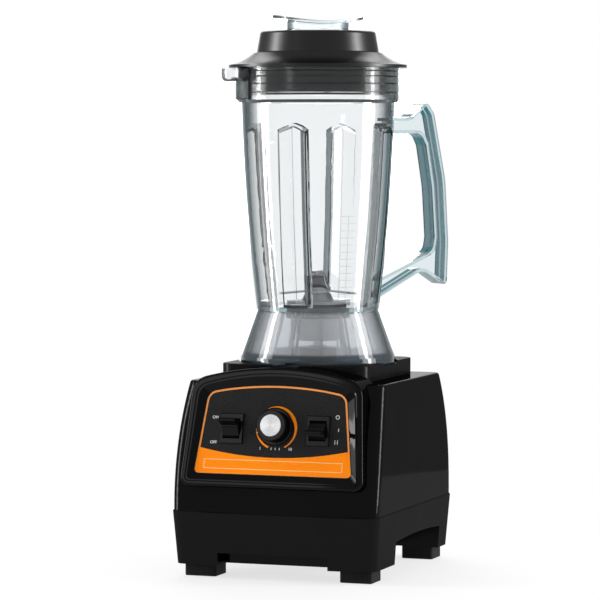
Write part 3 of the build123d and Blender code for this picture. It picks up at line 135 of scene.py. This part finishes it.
def spun_aluminium():
    """Aluminium turned round the knob's axis, with the fan of light that its fine rings give."""
    material = finish("spun_aluminium", rgb(0.50, 0.50, 0.51), rgb(0.42, 0.42, 0.43), 0.2, 0.05, 0.25 * MM, 0.1,
                      Metallic=1.0, Anisotropic=0.92)
    tree = material.node_tree
    tangent = add(tree, "Tangent", p_direction_type="RADIAL", p_axis="Y")
    shader = next(n for n in tree.nodes if n.type == "BSDF_PRINCIPLED")
    link(tree, tangent, 0, shader, "Tangent")
    return material


# Heights between which the look of clear plastic changes.
SKIRT_LIP_TOP = (0.2025, 0.2045)
SKIRT_FROST_TOP = (0.236, 0.246)
SKIRT_TOP = (0.240, 0.244)
RING_BAND_FOOT = (0.440, 0.446)
SKIRT_TINT = rgb(0.93, 0.95, 0.98)
SKIRT_LIP_TINT = rgb(0.16, 0.21, 0.25)
CLEAR_ABSORPTION = rgb(0.30, 0.52, 0.58)


def clear_plastic(name, face, painted_edge_shade, edge_shade_first_facing, edge_shade_last_facing, density):
    """Clear moulded plastic, pale where seen face on, with painted edge shade: a dark blue-green mixed into its
    colour wherever it is seen edge on. The jug's skirt and ringed band are duller.
    """
    material = bpy.data.materials.new(name)
    tree = tree_of(material)
    coordinates = add(tree, "TexCoord")
    place = add(tree, "SeparateXYZ")
    link(tree, coordinates, "Object", place, "Vector")

    def by_height(heights, below, above):
        node = add(tree, "MapRange", From_Min=heights[0], From_Max=heights[1], To_Min=below, To_Max=above)
        link(tree, place, "Z", node, "Value")
        return node

    gloss = add(tree, "Math", p_operation="ADD")
    link(tree, by_height(SKIRT_FROST_TOP, 0.06, 0.015), 0, gloss, 0)
    link(tree, by_height(RING_BAND_FOOT, 0.0, 0.13), 0, gloss, 1)
    # Painted edge shade: by viewing angle, the colour turns to a dark blue-green wherever the plastic is seen edge
    # on.
    grazing = add(tree, "LayerWeight", Blend=0.5)
    edge = add(tree, "MapRange", p_interpolation_type="SMOOTHSTEP", From_Min=edge_shade_first_facing, From_Max=edge_shade_last_facing,
               To_Min=0.0, To_Max=1.0)
    link(tree, grazing, "Facing", edge, "Value")
    tint = mixed(tree, face, SKIRT_TINT, by_height(SKIRT_TOP, 1.0, 0.0))
    for weight, colour in ((by_height(SKIRT_LIP_TOP, 1.0, 0.0), SKIRT_LIP_TINT), (edge, painted_edge_shade)):
        mix = mixed(tree, face, colour, weight)
        link(tree, tint, MIX_COLOUR_OUT, mix, MIX_COLOUR_A)
        tint = mix
    ripple = sized_noise(tree, coordinates, 9.0 * MM, 2.0)
    relief = add(tree, "Bump", Strength=0.05, Distance=0.2 * MM)
    link(tree, ripple, 0, relief, "Height")
    shader = add(tree, "BsdfPrincipled", IOR=1.49)
    link(tree, by_height(SKIRT_TOP, 0.78, 1.0), 0, shader, "Transmission Weight")
    link(tree, tint, MIX_COLOUR_OUT, shader, "Base Color")
    link(tree, gloss, 0, shader, "Roughness")
    link(tree, relief, "Normal", shader, "Normal")
    body = add(tree, "VolumeAbsorption", Color=CLEAR_ABSORPTION, Density=density)
    output = add(tree, "OutputMaterial")
    link(tree, shader, 0, output, "Surface")
    link(tree, body, 0, output, "Volume")
    return material


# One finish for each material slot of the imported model.
FINISH = {
    "housing_plastic": coated_black(
        "polished_black", rgb(0.0013, 0.0013, 0.0015), rgb(0.0022, 0.0022, 0.0024), 0.12, 0.02, 2.5 * MM, 0.02,
        0.09, 0.06),
    "base_plastic": coated_black(
        "satin_black", rgb(0.0025, 0.0025, 0.003), rgb(0.004, 0.004, 0.0045), 0.34, 0.04, 0.5 * MM, 0.12,
        0.07, 0.2),
    "rubber": finish(
        "black_rubber", rgb(0.008, 0.008, 0.008), rgb(0.013, 0.013, 0.013), 0.62, 0.08, 0.7 * MM, 0.25,
        Specular_IOR_Level=0.1),
    "steel": finish(
        "polished_steel", rgb(0.56, 0.57, 0.58), rgb(0.50, 0.51, 0.53), 0.2, 0.06, 0.4 * MM, 0.08,
        stretch=(1.0, 1.0, 8.0), Metallic=1.0),
    "panel_plastic": finish(
        "panel_black", rgb(0.006, 0.006, 0.006), rgb(0.009, 0.009, 0.009), 0.4, 0.05, 0.6 * MM, 0.15,
        Specular_IOR_Level=0.08),
    "label_film": finish(
        "label_charcoal", rgb(0.006, 0.006, 0.0065), rgb(0.021, 0.021, 0.022), 0.42, 0.08, 0.45 * MM, 0.25,
        patch=0.9 * MM, Specular_IOR_Level=0.1),
    "switch_plastic": coated_black(
        "switch_black", rgb(0.004, 0.004, 0.004), rgb(0.006, 0.006, 0.006), 0.22, 0.05, 0.6 * MM, 0.05,
        0.09, 0.15),
    "board": finish(
        "board_green", rgb(0.01, 0.09, 0.035), rgb(0.015, 0.12, 0.045), 0.35, 0.05, 0.4 * MM, 0.1),
    "aluminium": finish(
        "cast_aluminium", rgb(0.55, 0.56, 0.57), rgb(0.47, 0.48, 0.49), 0.42, 0.08, 0.6 * MM, 0.35,
        Metallic=1.0),
    "capacitor": finish(
        "capacitor_sleeve", rgb(0.02, 0.035, 0.12), rgb(0.025, 0.045, 0.15), 0.3, 0.05, 1.0 * MM, 0.05),
    "nylon": finish(
        "grey_nylon", rgb(0.05, 0.05, 0.052), rgb(0.065, 0.065, 0.067), 0.45, 0.06, 0.6 * MM, 0.2),
    "pad_plastic": coated_black(
        "pad_black", rgb(0.005, 0.005, 0.0055), rgb(0.008, 0.008, 0.0085), 0.3, 0.05, 0.6 * MM, 0.1,
        0.08, 0.25),
    "lamination": finish(
        "stacked_iron", rgb(0.22, 0.22, 0.23), rgb(0.32, 0.32, 0.33), 0.4, 0.08, 0.5 * MM, 0.6,
        stretch=(30.0, 30.0, 1.0), Metallic=1.0),
    "copper": finish(
        "enamelled_copper", rgb(0.55, 0.20, 0.07), rgb(0.62, 0.26, 0.10), 0.3, 0.06, 0.5 * MM, 0.5,
        stretch=(12.0, 12.0, 1.0), Metallic=1.0),
    "carbon": finish(
        "carbon_brush", rgb(0.02, 0.02, 0.022), rgb(0.03, 0.03, 0.032), 0.6, 0.05, 0.4 * MM, 0.3),
    "coupling": finish(
        "coupling_black", rgb(0.012, 0.012, 0.012), rgb(0.018, 0.018, 0.018), 0.4, 0.05, 0.6 * MM, 0.15),
    "lid_plastic": coated_black(
        "lid_black", rgb(0.0018, 0.0018, 0.002), rgb(0.003, 0.0029, 0.0028), 0.3, 0.03, 1.0 * MM, 0.04,
        0.36, 0.3),
    "spun_aluminium": spun_aluminium(),
    # Face colour, then the near-black blue-green of the painted edge shade.
    "clear_plastic": clear_plastic(
        "clear_plastic", rgb(0.99, 0.995, 1.0), rgb(0.008, 0.03, 0.036), 0.28, 0.68, 12.0),
}

# Finishes of single pieces, in place of their slot's.
OWN_FINISH = {
    # Each clear piece: face colour, then the dark blue-green of its painted edge shade.
    "jug_handle": clear_plastic(
        "handle_plastic", rgb(0.86, 0.93, 0.945), rgb(0.0, 0.045, 0.065), 0.04, 0.6, 24.0),
    "measuring_cup": clear_plastic(
        "cup_plastic", rgb(0.95, 0.98, 0.99), rgb(0.01, 0.05, 0.07), 0.15, 0.8, 16.0),
    "lid_gasket": coated_black(
        "seal_rubber", rgb(0.002, 0.0025, 0.003), rgb(0.003, 0.0035, 0.004), 0.4, 0.05, 0.7 * MM, 0.1,
        0.12, 0.25),
}

for node_name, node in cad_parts.items():
    slot_name = node.data.materials[0].name
    node.data.materials[0] = OWN_FINISH.get(node_name, FINISH[slot_name])

ORANGE = finish("print_orange", rgb(1.0, 0.265, 0.0), rgb(1.0, 0.24, 0.0), 0.5, 0.05, 0.5 * MM, 0.1,
                Specular_IOR_Level=0.12)
SOFT_ORANGE = finish("print_soft_orange", rgb(0.88, 0.31, 0.07), rgb(0.78, 0.27, 0.06), 0.5, 0.05,
                     0.5 * MM, 0.1, Specular_IOR_Level=0.15)
WHITE = finish("print_white", rgb(0.72, 0.72, 0.70), rgb(0.62, 0.62, 0.60), 0.45, 0.05, 0.4 * MM, 0.1)
SCALE_WHITE = finish("scale_white", rgb(0.50, 0.54, 0.55), rgb(0.44, 0.48, 0.49), 0.35, 0.05, 0.4 * MM, 0.1)
PALE = finish("print_pale_orange", rgb(1.0, 0.62, 0.28), rgb(0.95, 0.58, 0.25), 0.4, 0.05, 0.5 * MM, 0.1)

# ---------------------------------------------------------------- plates on the panel

PANEL_LEAN = radians(11.5)
PANEL_FOOT = Vector((0.0, -0.113, 0.092))
PANEL_UP = Vector((0.0, sin(PANEL_LEAN), cos(PANEL_LEAN)))
PANEL_OUT = Vector((0.0, -cos(PANEL_LEAN), sin(PANEL_LEAN)))

# Millimetres over the label's face: a printed film's top, and the tops of the band and of the frame printed on it.
INK = 0.06
BAND_INK = INK * 1.4
FRAME_INK = INK * 2.2


def on_panel(x, up, out):
    """A point of the panel from millimetres across, up its slope and out of its face."""
    return PANEL_FOOT + Vector((x * MM, 0.0, 0.0)) + PANEL_UP * (up * MM) + PANEL_OUT * (out * MM)


def mesh_object(name, vertices, faces, material, body):
    mesh = bpy.data.meshes.new(name)
    mesh.from_pydata([tuple(v) for v in vertices], [], faces)
    mesh.validate()
    work = bmesh.new()
    work.from_mesh(mesh)
    bmesh.ops.recalc_face_normals(work, faces=work.faces)
    work.to_mesh(mesh)
    work.free()
    piece = bpy.data.objects.new(name, mesh)
    bpy.context.scene.collection.objects.link(piece)
    piece.data.materials.append(material)
    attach(piece, body)


def slab(name, outline, material, body="base", low=0.0, high=INK):
    """A closed flat plate from an outline of (x, up) points, between two heights over the panel."""
    count = len(outline)
    vertices = [on_panel(x, up, height) for height in (low, high) for x, up in outline]
    faces = [list(range(count))[::-1], list(range(count, 2 * count))]
    faces += [[i, (i + 1) % count, count + (i + 1) % count, count + i] for i in range(count)]
    mesh_object(name, vertices, faces, material, body)


def band_between(name, outer, inner, material, closed=True, low=0.0, high=INK):
    """A closed flat plate between two outlines with the same number of points."""
    count = len(outer)
    vertices = [on_panel(x, up, height) for height in (low, high) for x, up in outer + inner]
    faces = []
    for i in range(count if closed else count - 1):
        j = (i + 1) % count
        faces.append([i, j, count + j, count + i])
        faces.append([2 * count + i, 3 * count + i, 3 * count + j, 2 * count + j])
        faces.append([i, 2 * count + i, 2 * count + j, j])
        faces.append([count + i, count + j, 3 * count + j, 3 * count + i])
    if not closed:
        for i in (0, count - 1):
            faces.append([i, count + i, 3 * count + i, 2 * count + i])
    mesh_object(name, vertices, faces, material, "base")


# ---------------------------------------------------------------- border, orange band and frame

LABEL_BOTTOM = 5.0
LABEL_BOTTOM_HALF = 77.3
LABEL_SHOULDER = 81.5
LABEL_SHOULDER_HALF = 68.0
LABEL_CROWN = 88.6
FOOT_ROUND = 4.5
SHOULDER_ROUND = 11.2
SHOULDER_CLEAR = 14.0      # no point of the crown lies nearer to a shoulder than this
CROWN_ROUND = 0.5
CROWN_STEPS = 24
ROUND_STEPS = 6


def rounded_outline(corners, radii):
    """A convex outline with its corners rounded. Corners run anticlockwise."""
    points = []
    count = len(corners)
    for i, (corner, radius) in enumerate(zip(corners, radii)):
        here = Vector(corner)
        before = (Vector(corners[i - 1]) - here).normalized()
        after = (Vector(corners[(i + 1) % count]) - here).normalized()
        half = before.angle(after) / 2.0
        reach = radius / (sin(half) / cos(half))
        centre = here + (before + after).normalized() * (radius / sin(half))
        start = here + before * reach - centre
        end = here + after * reach - centre
        first = atan2(start.y, start.x)
        last = atan2(end.y, end.x)
        if last < first:
            last += 2.0 * pi
        for k in range(ROUND_STEPS + 1):
            angle = first + (last - first) * k / ROUND_STEPS
            points.append((centre.x + radius * cos(angle), centre.y + radius * sin(angle)))
    return points


def label_outline(inset):
    """The label's outline, drawn in by `inset` millimetres: foot, sides, rounded shoulders and arched crown."""
    rise = LABEL_CROWN - LABEL_SHOULDER
    arch = (LABEL_SHOULDER_HALF ** 2 + rise ** 2) / (2.0 * rise)
    top = []
    for k in range(CROWN_STEPS + 1):
        x = LABEL_SHOULDER_HALF * (1.0 - 2.0 * k / CROWN_STEPS)
        top.append((x, LABEL_CROWN - arch + (arch ** 2 - x ** 2) ** 0.5))
    crown = [point for point in top if abs(point[0]) < LABEL_SHOULDER_HALF - SHOULDER_CLEAR]
    foot = [(-LABEL_BOTTOM_HALF, LABEL_BOTTOM), (LABEL_BOTTOM_HALF, LABEL_BOTTOM)]
    outline = rounded_outline(
        foot + [top[0]] + crown + [top[-1]],
        [FOOT_ROUND, FOOT_ROUND, SHOULDER_ROUND] + [CROWN_ROUND] * len(crown) + [SHOULDER_ROUND])
    drawn = []
    count = len(outline)
    for i in range(count):
        before = Vector(outline[i - 1])
        here = Vector(outline[i])
        after = Vector(outline[(i + 1) % count])
        along = after - before
        if along.length < 1e-6:
            continue
        along.normalize()
        drawn.append((here.x - along.y * inset, here.y + along.x * inset))
    return drawn


BORDER_INSET = 0.7
BORDER_WIDTH = 1.7
BAND_INSET = 1.1
BAND_MIDDLE = 21.7         # top edge of the orange band on the centre line
BAND_SIDE = 29.6           # top edge of the orange band at its ends
BAND_HALF = 73.0
BAND_STEPS = 40
BAND_PIVOT = 40.0          # height of a point over the band, round which its lower points are put in order
FRAME_HALF = 67.5
FRAME_LOW = 10.2
FRAME_HIGH = 19.0
FRAME_LINE = 0.55


def band_edge(x):
    return BAND_MIDDLE + (BAND_SIDE - BAND_MIDDLE) * (x / BAND_HALF) ** 2


def orange_band():
    """The band's outline: along the label's foot from left to right, and back along the hollow top edge."""
    low = [p for p in label_outline(BAND_INSET) if p[1] < band_edge(p[0])]
    low.sort(key=lambda p: atan2(p[1] - BAND_PIVOT, p[0]))
    lean = (LABEL_BOTTOM_HALF - LABEL_SHOULDER_HALF) / (LABEL_SHOULDER - LABEL_BOTTOM)
    side = LABEL_BOTTOM_HALF - BAND_INSET - (BAND_SIDE - LABEL_BOTTOM) * lean
    across = [side * (1.0 - 2.0 * k / BAND_STEPS) for k in range(BAND_STEPS + 1)]
    return low + [(x, band_edge(x)) for x in across]


def plain_frame(inset):
    half, low, high = FRAME_HALF - inset, FRAME_LOW + inset, FRAME_HIGH - inset
    return [(-half, low), (half, low), (half, high), (-half, high)]


band_between("label_border", label_outline(BORDER_INSET), label_outline(BORDER_INSET + BORDER_WIDTH), SOFT_ORANGE)
slab("label_band", orange_band(), ORANGE, high=BAND_INK)
band_between("label_frame", plain_frame(0.0), plain_frame(FRAME_LINE), PALE, low=BAND_INK, high=FRAME_INK)

# ---------------------------------------------------------------- dial and marks

RING_X = 1.5
RING_UP = 49.2
RING_OUTER = 20.0
RING_STEP = 4              # degrees


def ring_piece(name, start, end, width_at):
    """A printed arc round the knob between two angles in degrees, with its width given along it from 0 to 1."""
    outer, inner = [], []
    steps = max(6, int((end - start) / RING_STEP))
    for k in range(steps + 1):
        along = k / steps
        angle = radians(start + (end - start) * along)
        outer.append((RING_X + RING_OUTER * cos(angle), RING_UP + RING_OUTER * sin(angle)))
        reach = RING_OUTER - width_at(along)
        inner.append((RING_X + reach * cos(angle), RING_UP + reach * sin(angle)))
    band_between(name, outer, inner, ORANGE, closed=False)


def main_width(along):
    """The main arc swells from 1 to 4.8 mm over its first two thirds and narrows again near its top end."""
    return 1.0 + 3.8 * min(1.0, 1.45 * along) ** 1.5 - 7.0 * max(0.0, along - 0.82)


ring_piece("label_dial_main", -63.0, 118.0, main_width)
ring_piece("label_dial_tick", 132.0, 142.0, lambda along: 1.3)
ring_piece("label_dial_low", 175.0, 249.0, lambda along: 1.7)

KNOB_UP = 50.3
POINTER_TURN = radians(201.5)
POINTER_REACH = (14.4, 17.2)
POINTER_HALF = 0.6
POINTER_OUT = (3.0, 3.55)


def knob_pointer():
    """The white line let into the knob's skirt. It turns with the knob."""
    near, far = POINTER_REACH
    outline = []
    for reach, side in ((near, -POINTER_HALF), (far, -POINTER_HALF), (far, POINTER_HALF), (near, POINTER_HALF)):
        outline.append((reach * cos(POINTER_TURN) - side * sin(POINTER_TURN),
                        KNOB_UP + reach * sin(POINTER_TURN) + side * cos(POINTER_TURN)))
    slab("knob_pointer", outline, WHITE, "speed_knob", *POINTER_OUT)


def bar(name, x, up, width, height):
    """A plain printed bar."""
    half, tall = width / 2.0, height / 2.0
    slab(name, [(x - half, up - tall), (x + half, up - tall), (x + half, up + tall), (x - half, up + tall)], WHITE)


CAPITAL = 0.70             # height of a capital letter as a share of the font's size
STROKE_SPREAD = 0.05 * MM


def writing(name, text, x, up, height, body="base"):
    """Generic control marks such as ON, OFF and plain numbers, printed on the label."""
    curve = bpy.data.curves.new(name, "FONT")
    curve.body = text
    curve.size = height * MM / CAPITAL
    curve.align_x = "CENTER"
    curve.align_y = "CENTER"
    curve.extrude = INK * MM / 2.0
    curve.offset = STROKE_SPREAD
    piece = bpy.data.objects.new(name, curve)
    bpy.context.scene.collection.objects.link(piece)
    piece.location = on_panel(x, up, INK / 2.0)
    piece.rotation_euler = (pi / 2.0 - PANEL_LEAN, 0.0, 0.0)
    curve.materials.append(WHITE)
    bpy.context.view_layer.update()
    mesh = bpy.data.meshes.new_from_object(piece.evaluated_get(bpy.context.evaluated_depsgraph_get()))
    mesh.transform(piece.matrix_world)
    bpy.data.objects.remove(piece)
    letters = bpy.data.objects.new(name, mesh)
    bpy.context.scene.collection.objects.link(letters)
    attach(letters, body)


SWITCH_TEXT = 2.7
DIAL_TEXT = 2.6
DIAL_ROW = 30.0
STEP_FIRST, STEP_APART = -2.5, 4.0

knob_pointer()
writing("mark_on", "ON", -58.9, 57.4, SWITCH_TEXT)
writing("mark_off", "OFF", -59.4, 34.3, SWITCH_TEXT)
writing("mark_o", "O", 60.0, 60.5, 3.6)
bar("mark_one", 61.6, 49.0, 0.7, 3.0)
bar("mark_two_left", 58.8, 37.8, 0.6, 3.8)
bar("mark_two_right", 61.2, 37.8, 0.6, 3.8)
for number in range(3):
    bar("mark_step_" + str(number), STEP_FIRST + STEP_APART * number, DIAL_ROW, 0.5, 2.2)
writing("mark_low", "1", -13.3, DIAL_ROW, DIAL_TEXT)
writing("mark_high", "10", 15.9, DIAL_ROW, DIAL_TEXT)

# ---------------------------------------------------------------- scale on the jug

SCALE_TURN = radians(-45.0)     # round the jug's axis from +X
SCALE_LOW = 0.253
SCALE_STEP = 0.0066
SCALE_MARKS = 13
SCALE_HALF = 6.0 * MM
SCALE_LINE_HALF = 0.22 * MM
SCALE_SUNK = 0.05 * MM
SCALE_PROUD = 0.15 * MM
ACROSS_STEPS = 8
UP_STEPS = 16
OUTSIDE_JUG = 0.12              # a reach from the axis that lies outside the jug's wall


def jug_radius(jug, turn, z):
    """The jug's outer radius at an angle and a height."""
    way = Vector((cos(turn), sin(turn), 0.0))
    back = jug.matrix_world.inverted()
    start = back @ (Vector((0.0, JAR_Y, z)) + way * OUTSIDE_JUG)
    _, where, _, _ = jug.ray_cast(start, (back.to_3x3() @ -way).normalized())
    point = jug.matrix_world @ where
    return hypot(point.x, point.y - JAR_Y)


def jug_scale():
    """Fine raised marks up the jug's front right: short lines across and one line up their middle."""
    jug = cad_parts["jug"]
    vertices, faces = [], []

    def ribbon(points, half_across, half_up):
        """A closed ribbon that follows (turn, z) points just over the surface."""
        first = len(vertices)
        for turn, z in points:
            radius = jug_radius(jug, turn, z)
            for lift in (-SCALE_SUNK, SCALE_PROUD):
                for sign in (-1.0, 1.0):
                    angle = turn + sign * half_across / radius
                    reach = radius + lift
                    vertices.append((reach * cos(angle), JAR_Y + reach * sin(angle), z + sign * half_up))
        for k in range(len(points) - 1):
            a, b = first + 4 * k, first + 4 * (k + 1)
            for i, j in ((0, 1), (1, 3), (3, 2), (2, 0)):
                faces.append([a + i, a + j, b + j, b + i])
        for a in (first, first + 4 * (len(points) - 1)):
            faces.append([a, a + 1, a + 3, a + 2])

    half_turn = SCALE_HALF / jug_radius(jug, SCALE_TURN, SCALE_LOW)
    turns = [SCALE_TURN + half_turn * (2.0 * k / ACROSS_STEPS - 1.0) for k in range(ACROSS_STEPS + 1)]
    for number in range(SCALE_MARKS):
        ribbon([(turn, SCALE_LOW + number * SCALE_STEP) for turn in turns], 0.0, SCALE_LINE_HALF)
    tall = (SCALE_MARKS - 1) * SCALE_STEP
    ribbon([(SCALE_TURN, SCALE_LOW + tall * k / UP_STEPS) for k in range(UP_STEPS + 1)], SCALE_LINE_HALF, 0.0)
    mesh_object("jug_scale", vertices, faces, SCALE_WHITE, "jug")


jug_scale()

# ---------------------------------------------------------------- studio

FLOOR_REACH = 0.9
FLOOR_STEPS = 96
FLOOR_Z = -0.2 * MM             # just under the feet, so that the two never share a plane
SHADOW_REACH = (0.14, 0.42)     # from the floor's middle: the shadow shows fully inside, least outside
SHADOW_WHITE = 0.72             # share of plain white in the floor where the shadow shows fully
BACKDROP = (-0.337, 0.941, 0.0)     # the way from the blender to the middle of the white backdrop
BACKDROP_EDGE = (0.8, 0.985)        # cosines from that way: the room's grey outside, white inside
ROOM_GREY = 0.5
ROOM_LIGHT = 0.54               # strength of the room's even light on the object


def seen_directly(tree):
    """1 for the camera, for gloss and through clear parts, 0 for the light that falls on the object."""
    rays = add(tree, "LightPath")
    first = add(tree, "Math", p_operation="MAXIMUM")
    link(tree, rays, "Is Camera Ray", first, 0)
    link(tree, rays, "Is Glossy Ray", first, 1)
    seen = add(tree, "Math", p_operation="MAXIMUM")
    link(tree, first, 0, seen, 0)
    link(tree, rays, "Is Transmission Ray", seen, 1)
    return seen


def stage_floor():
    """A plain pale floor: seen white away from the object, with the object's soft shadow near it."""
    turns = [2 * pi * k / FLOOR_STEPS for k in range(FLOOR_STEPS)]
    vertices = [(0.0, 0.0, FLOOR_Z)] + [(FLOOR_REACH * cos(t), FLOOR_REACH * sin(t), FLOOR_Z) for t in turns]
    faces = [[0, 1 + k, 1 + (k + 1) % FLOOR_STEPS] for k in range(FLOOR_STEPS)]
    mesh = bpy.data.meshes.new("floor")
    mesh.from_pydata(vertices, [], faces)
    floor = bpy.data.objects.new("floor", mesh)
    bpy.context.scene.collection.objects.link(floor)
    material = bpy.data.materials.new("floor_white")
    tree = tree_of(material)
    coordinates = add(tree, "TexCoord")
    length = add(tree, "VectorMath", p_operation="LENGTH")
    link(tree, coordinates, "Object", length, 0)
    far = add(tree, "MapRange", p_interpolation_type="SMOOTHSTEP", From_Min=SHADOW_REACH[0],
              From_Max=SHADOW_REACH[1], To_Min=SHADOW_WHITE, To_Max=1.0)
    link(tree, length, "Value", far, "Value")
    weight = add(tree, "Math", p_operation="MULTIPLY")
    link(tree, seen_directly(tree), 0, weight, 0)
    link(tree, far, 0, weight, 1)
    paper = add(tree, "BsdfDiffuse", Color=rgb(0.86, 0.86, 0.86))
    glow = add(tree, "Emission", Color=rgb(1.0, 1.0, 1.0), Strength=1.0)
    mix = add(tree, "MixShader")
    link(tree, weight, 0, mix, 0)
    link(tree, paper, 0, mix, 1)
    link(tree, glow, 0, mix, 2)
    output = add(tree, "OutputMaterial")
    link(tree, mix, 0, output, "Surface")
    mesh.materials.append(material)


def studio_world():
    """A white backdrop in a pale grey room, the same to the camera, to gloss and through clear parts."""
    world = bpy.data.worlds.new("studio")
    bpy.context.scene.world = world
    tree = tree_of(world)
    coordinates = add(tree, "TexCoord")
    toward = add(tree, "VectorMath", p_operation="DOT_PRODUCT")
    link(tree, coordinates, "Generated", toward, 0)
    toward.inputs[1].default_value = BACKDROP
    room = add(tree, "MapRange", p_interpolation_type="SMOOTHSTEP", From_Min=BACKDROP_EDGE[0],
               From_Max=BACKDROP_EDGE[1], To_Min=ROOM_GREY, To_Max=1.0)
    link(tree, toward, "Value", room, "Value")
    level = add(tree, "Mix", p_data_type="FLOAT")
    level.inputs[MIX_FLOAT_A].default_value = ROOM_LIGHT
    link(tree, seen_directly(tree), 0, level, 0)
    link(tree, room, 0, level, MIX_FLOAT_B)
    background = add(tree, "Background", Color=rgb(1.0, 1.0, 1.0))
    link(tree, level, 0, background, "Strength")
    output = add(tree, "OutputWorld")
    link(tree, background, 0, output, "Surface")


def softbox(name, place, target, width, height, brightness):
    """A soft rectangular lamp of even brightness that faces a target. The camera doesn't see it."""
    light = bpy.data.lights.new(name, "AREA")
    light.shape = "RECTANGLE"
    light.size = width
    light.size_y = height
    light.energy = brightness * pi * width * height
    lamp = bpy.data.objects.new(name, light)
    bpy.context.scene.collection.objects.link(lamp)
    lamp.location = place
    lamp.rotation_euler = (Vector(target) - Vector(place)).to_track_quat("-Z", "Y").to_euler()
    lamp.visible_camera = False
    return lamp


stage_floor()
studio_world()

MIDDLE = (0.0, JAR_Y, 0.26)
LOW_FRONT = (0.0, -0.12, 0.15)

softbox("top_box", (-0.59, 1.65, 1.75), MIDDLE, 2.0, 0.8, 5.5)
softbox("key_box", (-1.3, -1.7, 1.5), MIDDLE, 0.9, 1.2, 0.4).visible_glossy = False
# Each side lamp is a broad box with a narrow bright strip inside it. They and the back lamp light the blender
# and show in its gloss, but a view through the jug from the other side doesn't meet them.
softbox("left_box", (-1.69, -0.6, 0.5), MIDDLE, 0.8, 1.5, 4.6).visible_transmission = False
softbox("left_strip", (-1.64, -0.58, 0.5), MIDDLE, 0.2, 1.4, 17.0).visible_transmission = False
softbox("right_box", (1.76, 0.37, 0.5), MIDDLE, 0.8, 1.5, 5.0).visible_transmission = False
softbox("right_strip", (1.71, 0.36, 0.5), MIDDLE, 0.2, 1.4, 19.0).visible_transmission = False
softbox("back_box", (-0.75, 1.9, 0.62), MIDDLE, 1.3, 0.85, 5.0).visible_transmission = False
softbox("front_card", (-0.75, -1.9, 0.75), LOW_FRONT, 0.28, 0.5, 2.5)

# ---------------------------------------------------------------- camera

# Solved from the photograph.
CAMERA_TURN = radians(19.7)
CAMERA_REACH = 3.03
CAMERA_HEIGHT = 0.408
CAMERA_TILT = radians(2.97)
CAMERA_LENS = 192.3             # millimetres, on a sensor CAMERA_SENSOR wide
CAMERA_SENSOR = 36.0
CAMERA_SHIFT = (-0.0298, 0.0017)

camera_data = bpy.data.cameras.new("camera")
camera = bpy.data.objects.new("camera", camera_data)
bpy.context.scene.collection.objects.link(camera)
camera.location = (CAMERA_REACH * sin(CAMERA_TURN), JAR_Y - CAMERA_REACH * cos(CAMERA_TURN), CAMERA_HEIGHT)
camera.rotation_euler = (pi / 2.0 - CAMERA_TILT, 0.0, CAMERA_TURN)
camera_data.lens = CAMERA_LENS
camera_data.sensor_width = CAMERA_SENSOR
camera_data.shift_x, camera_data.shift_y = CAMERA_SHIFT
bpy.context.scene.camera = camera

bpy.context.scene.view_settings.view_transform = "Standard"
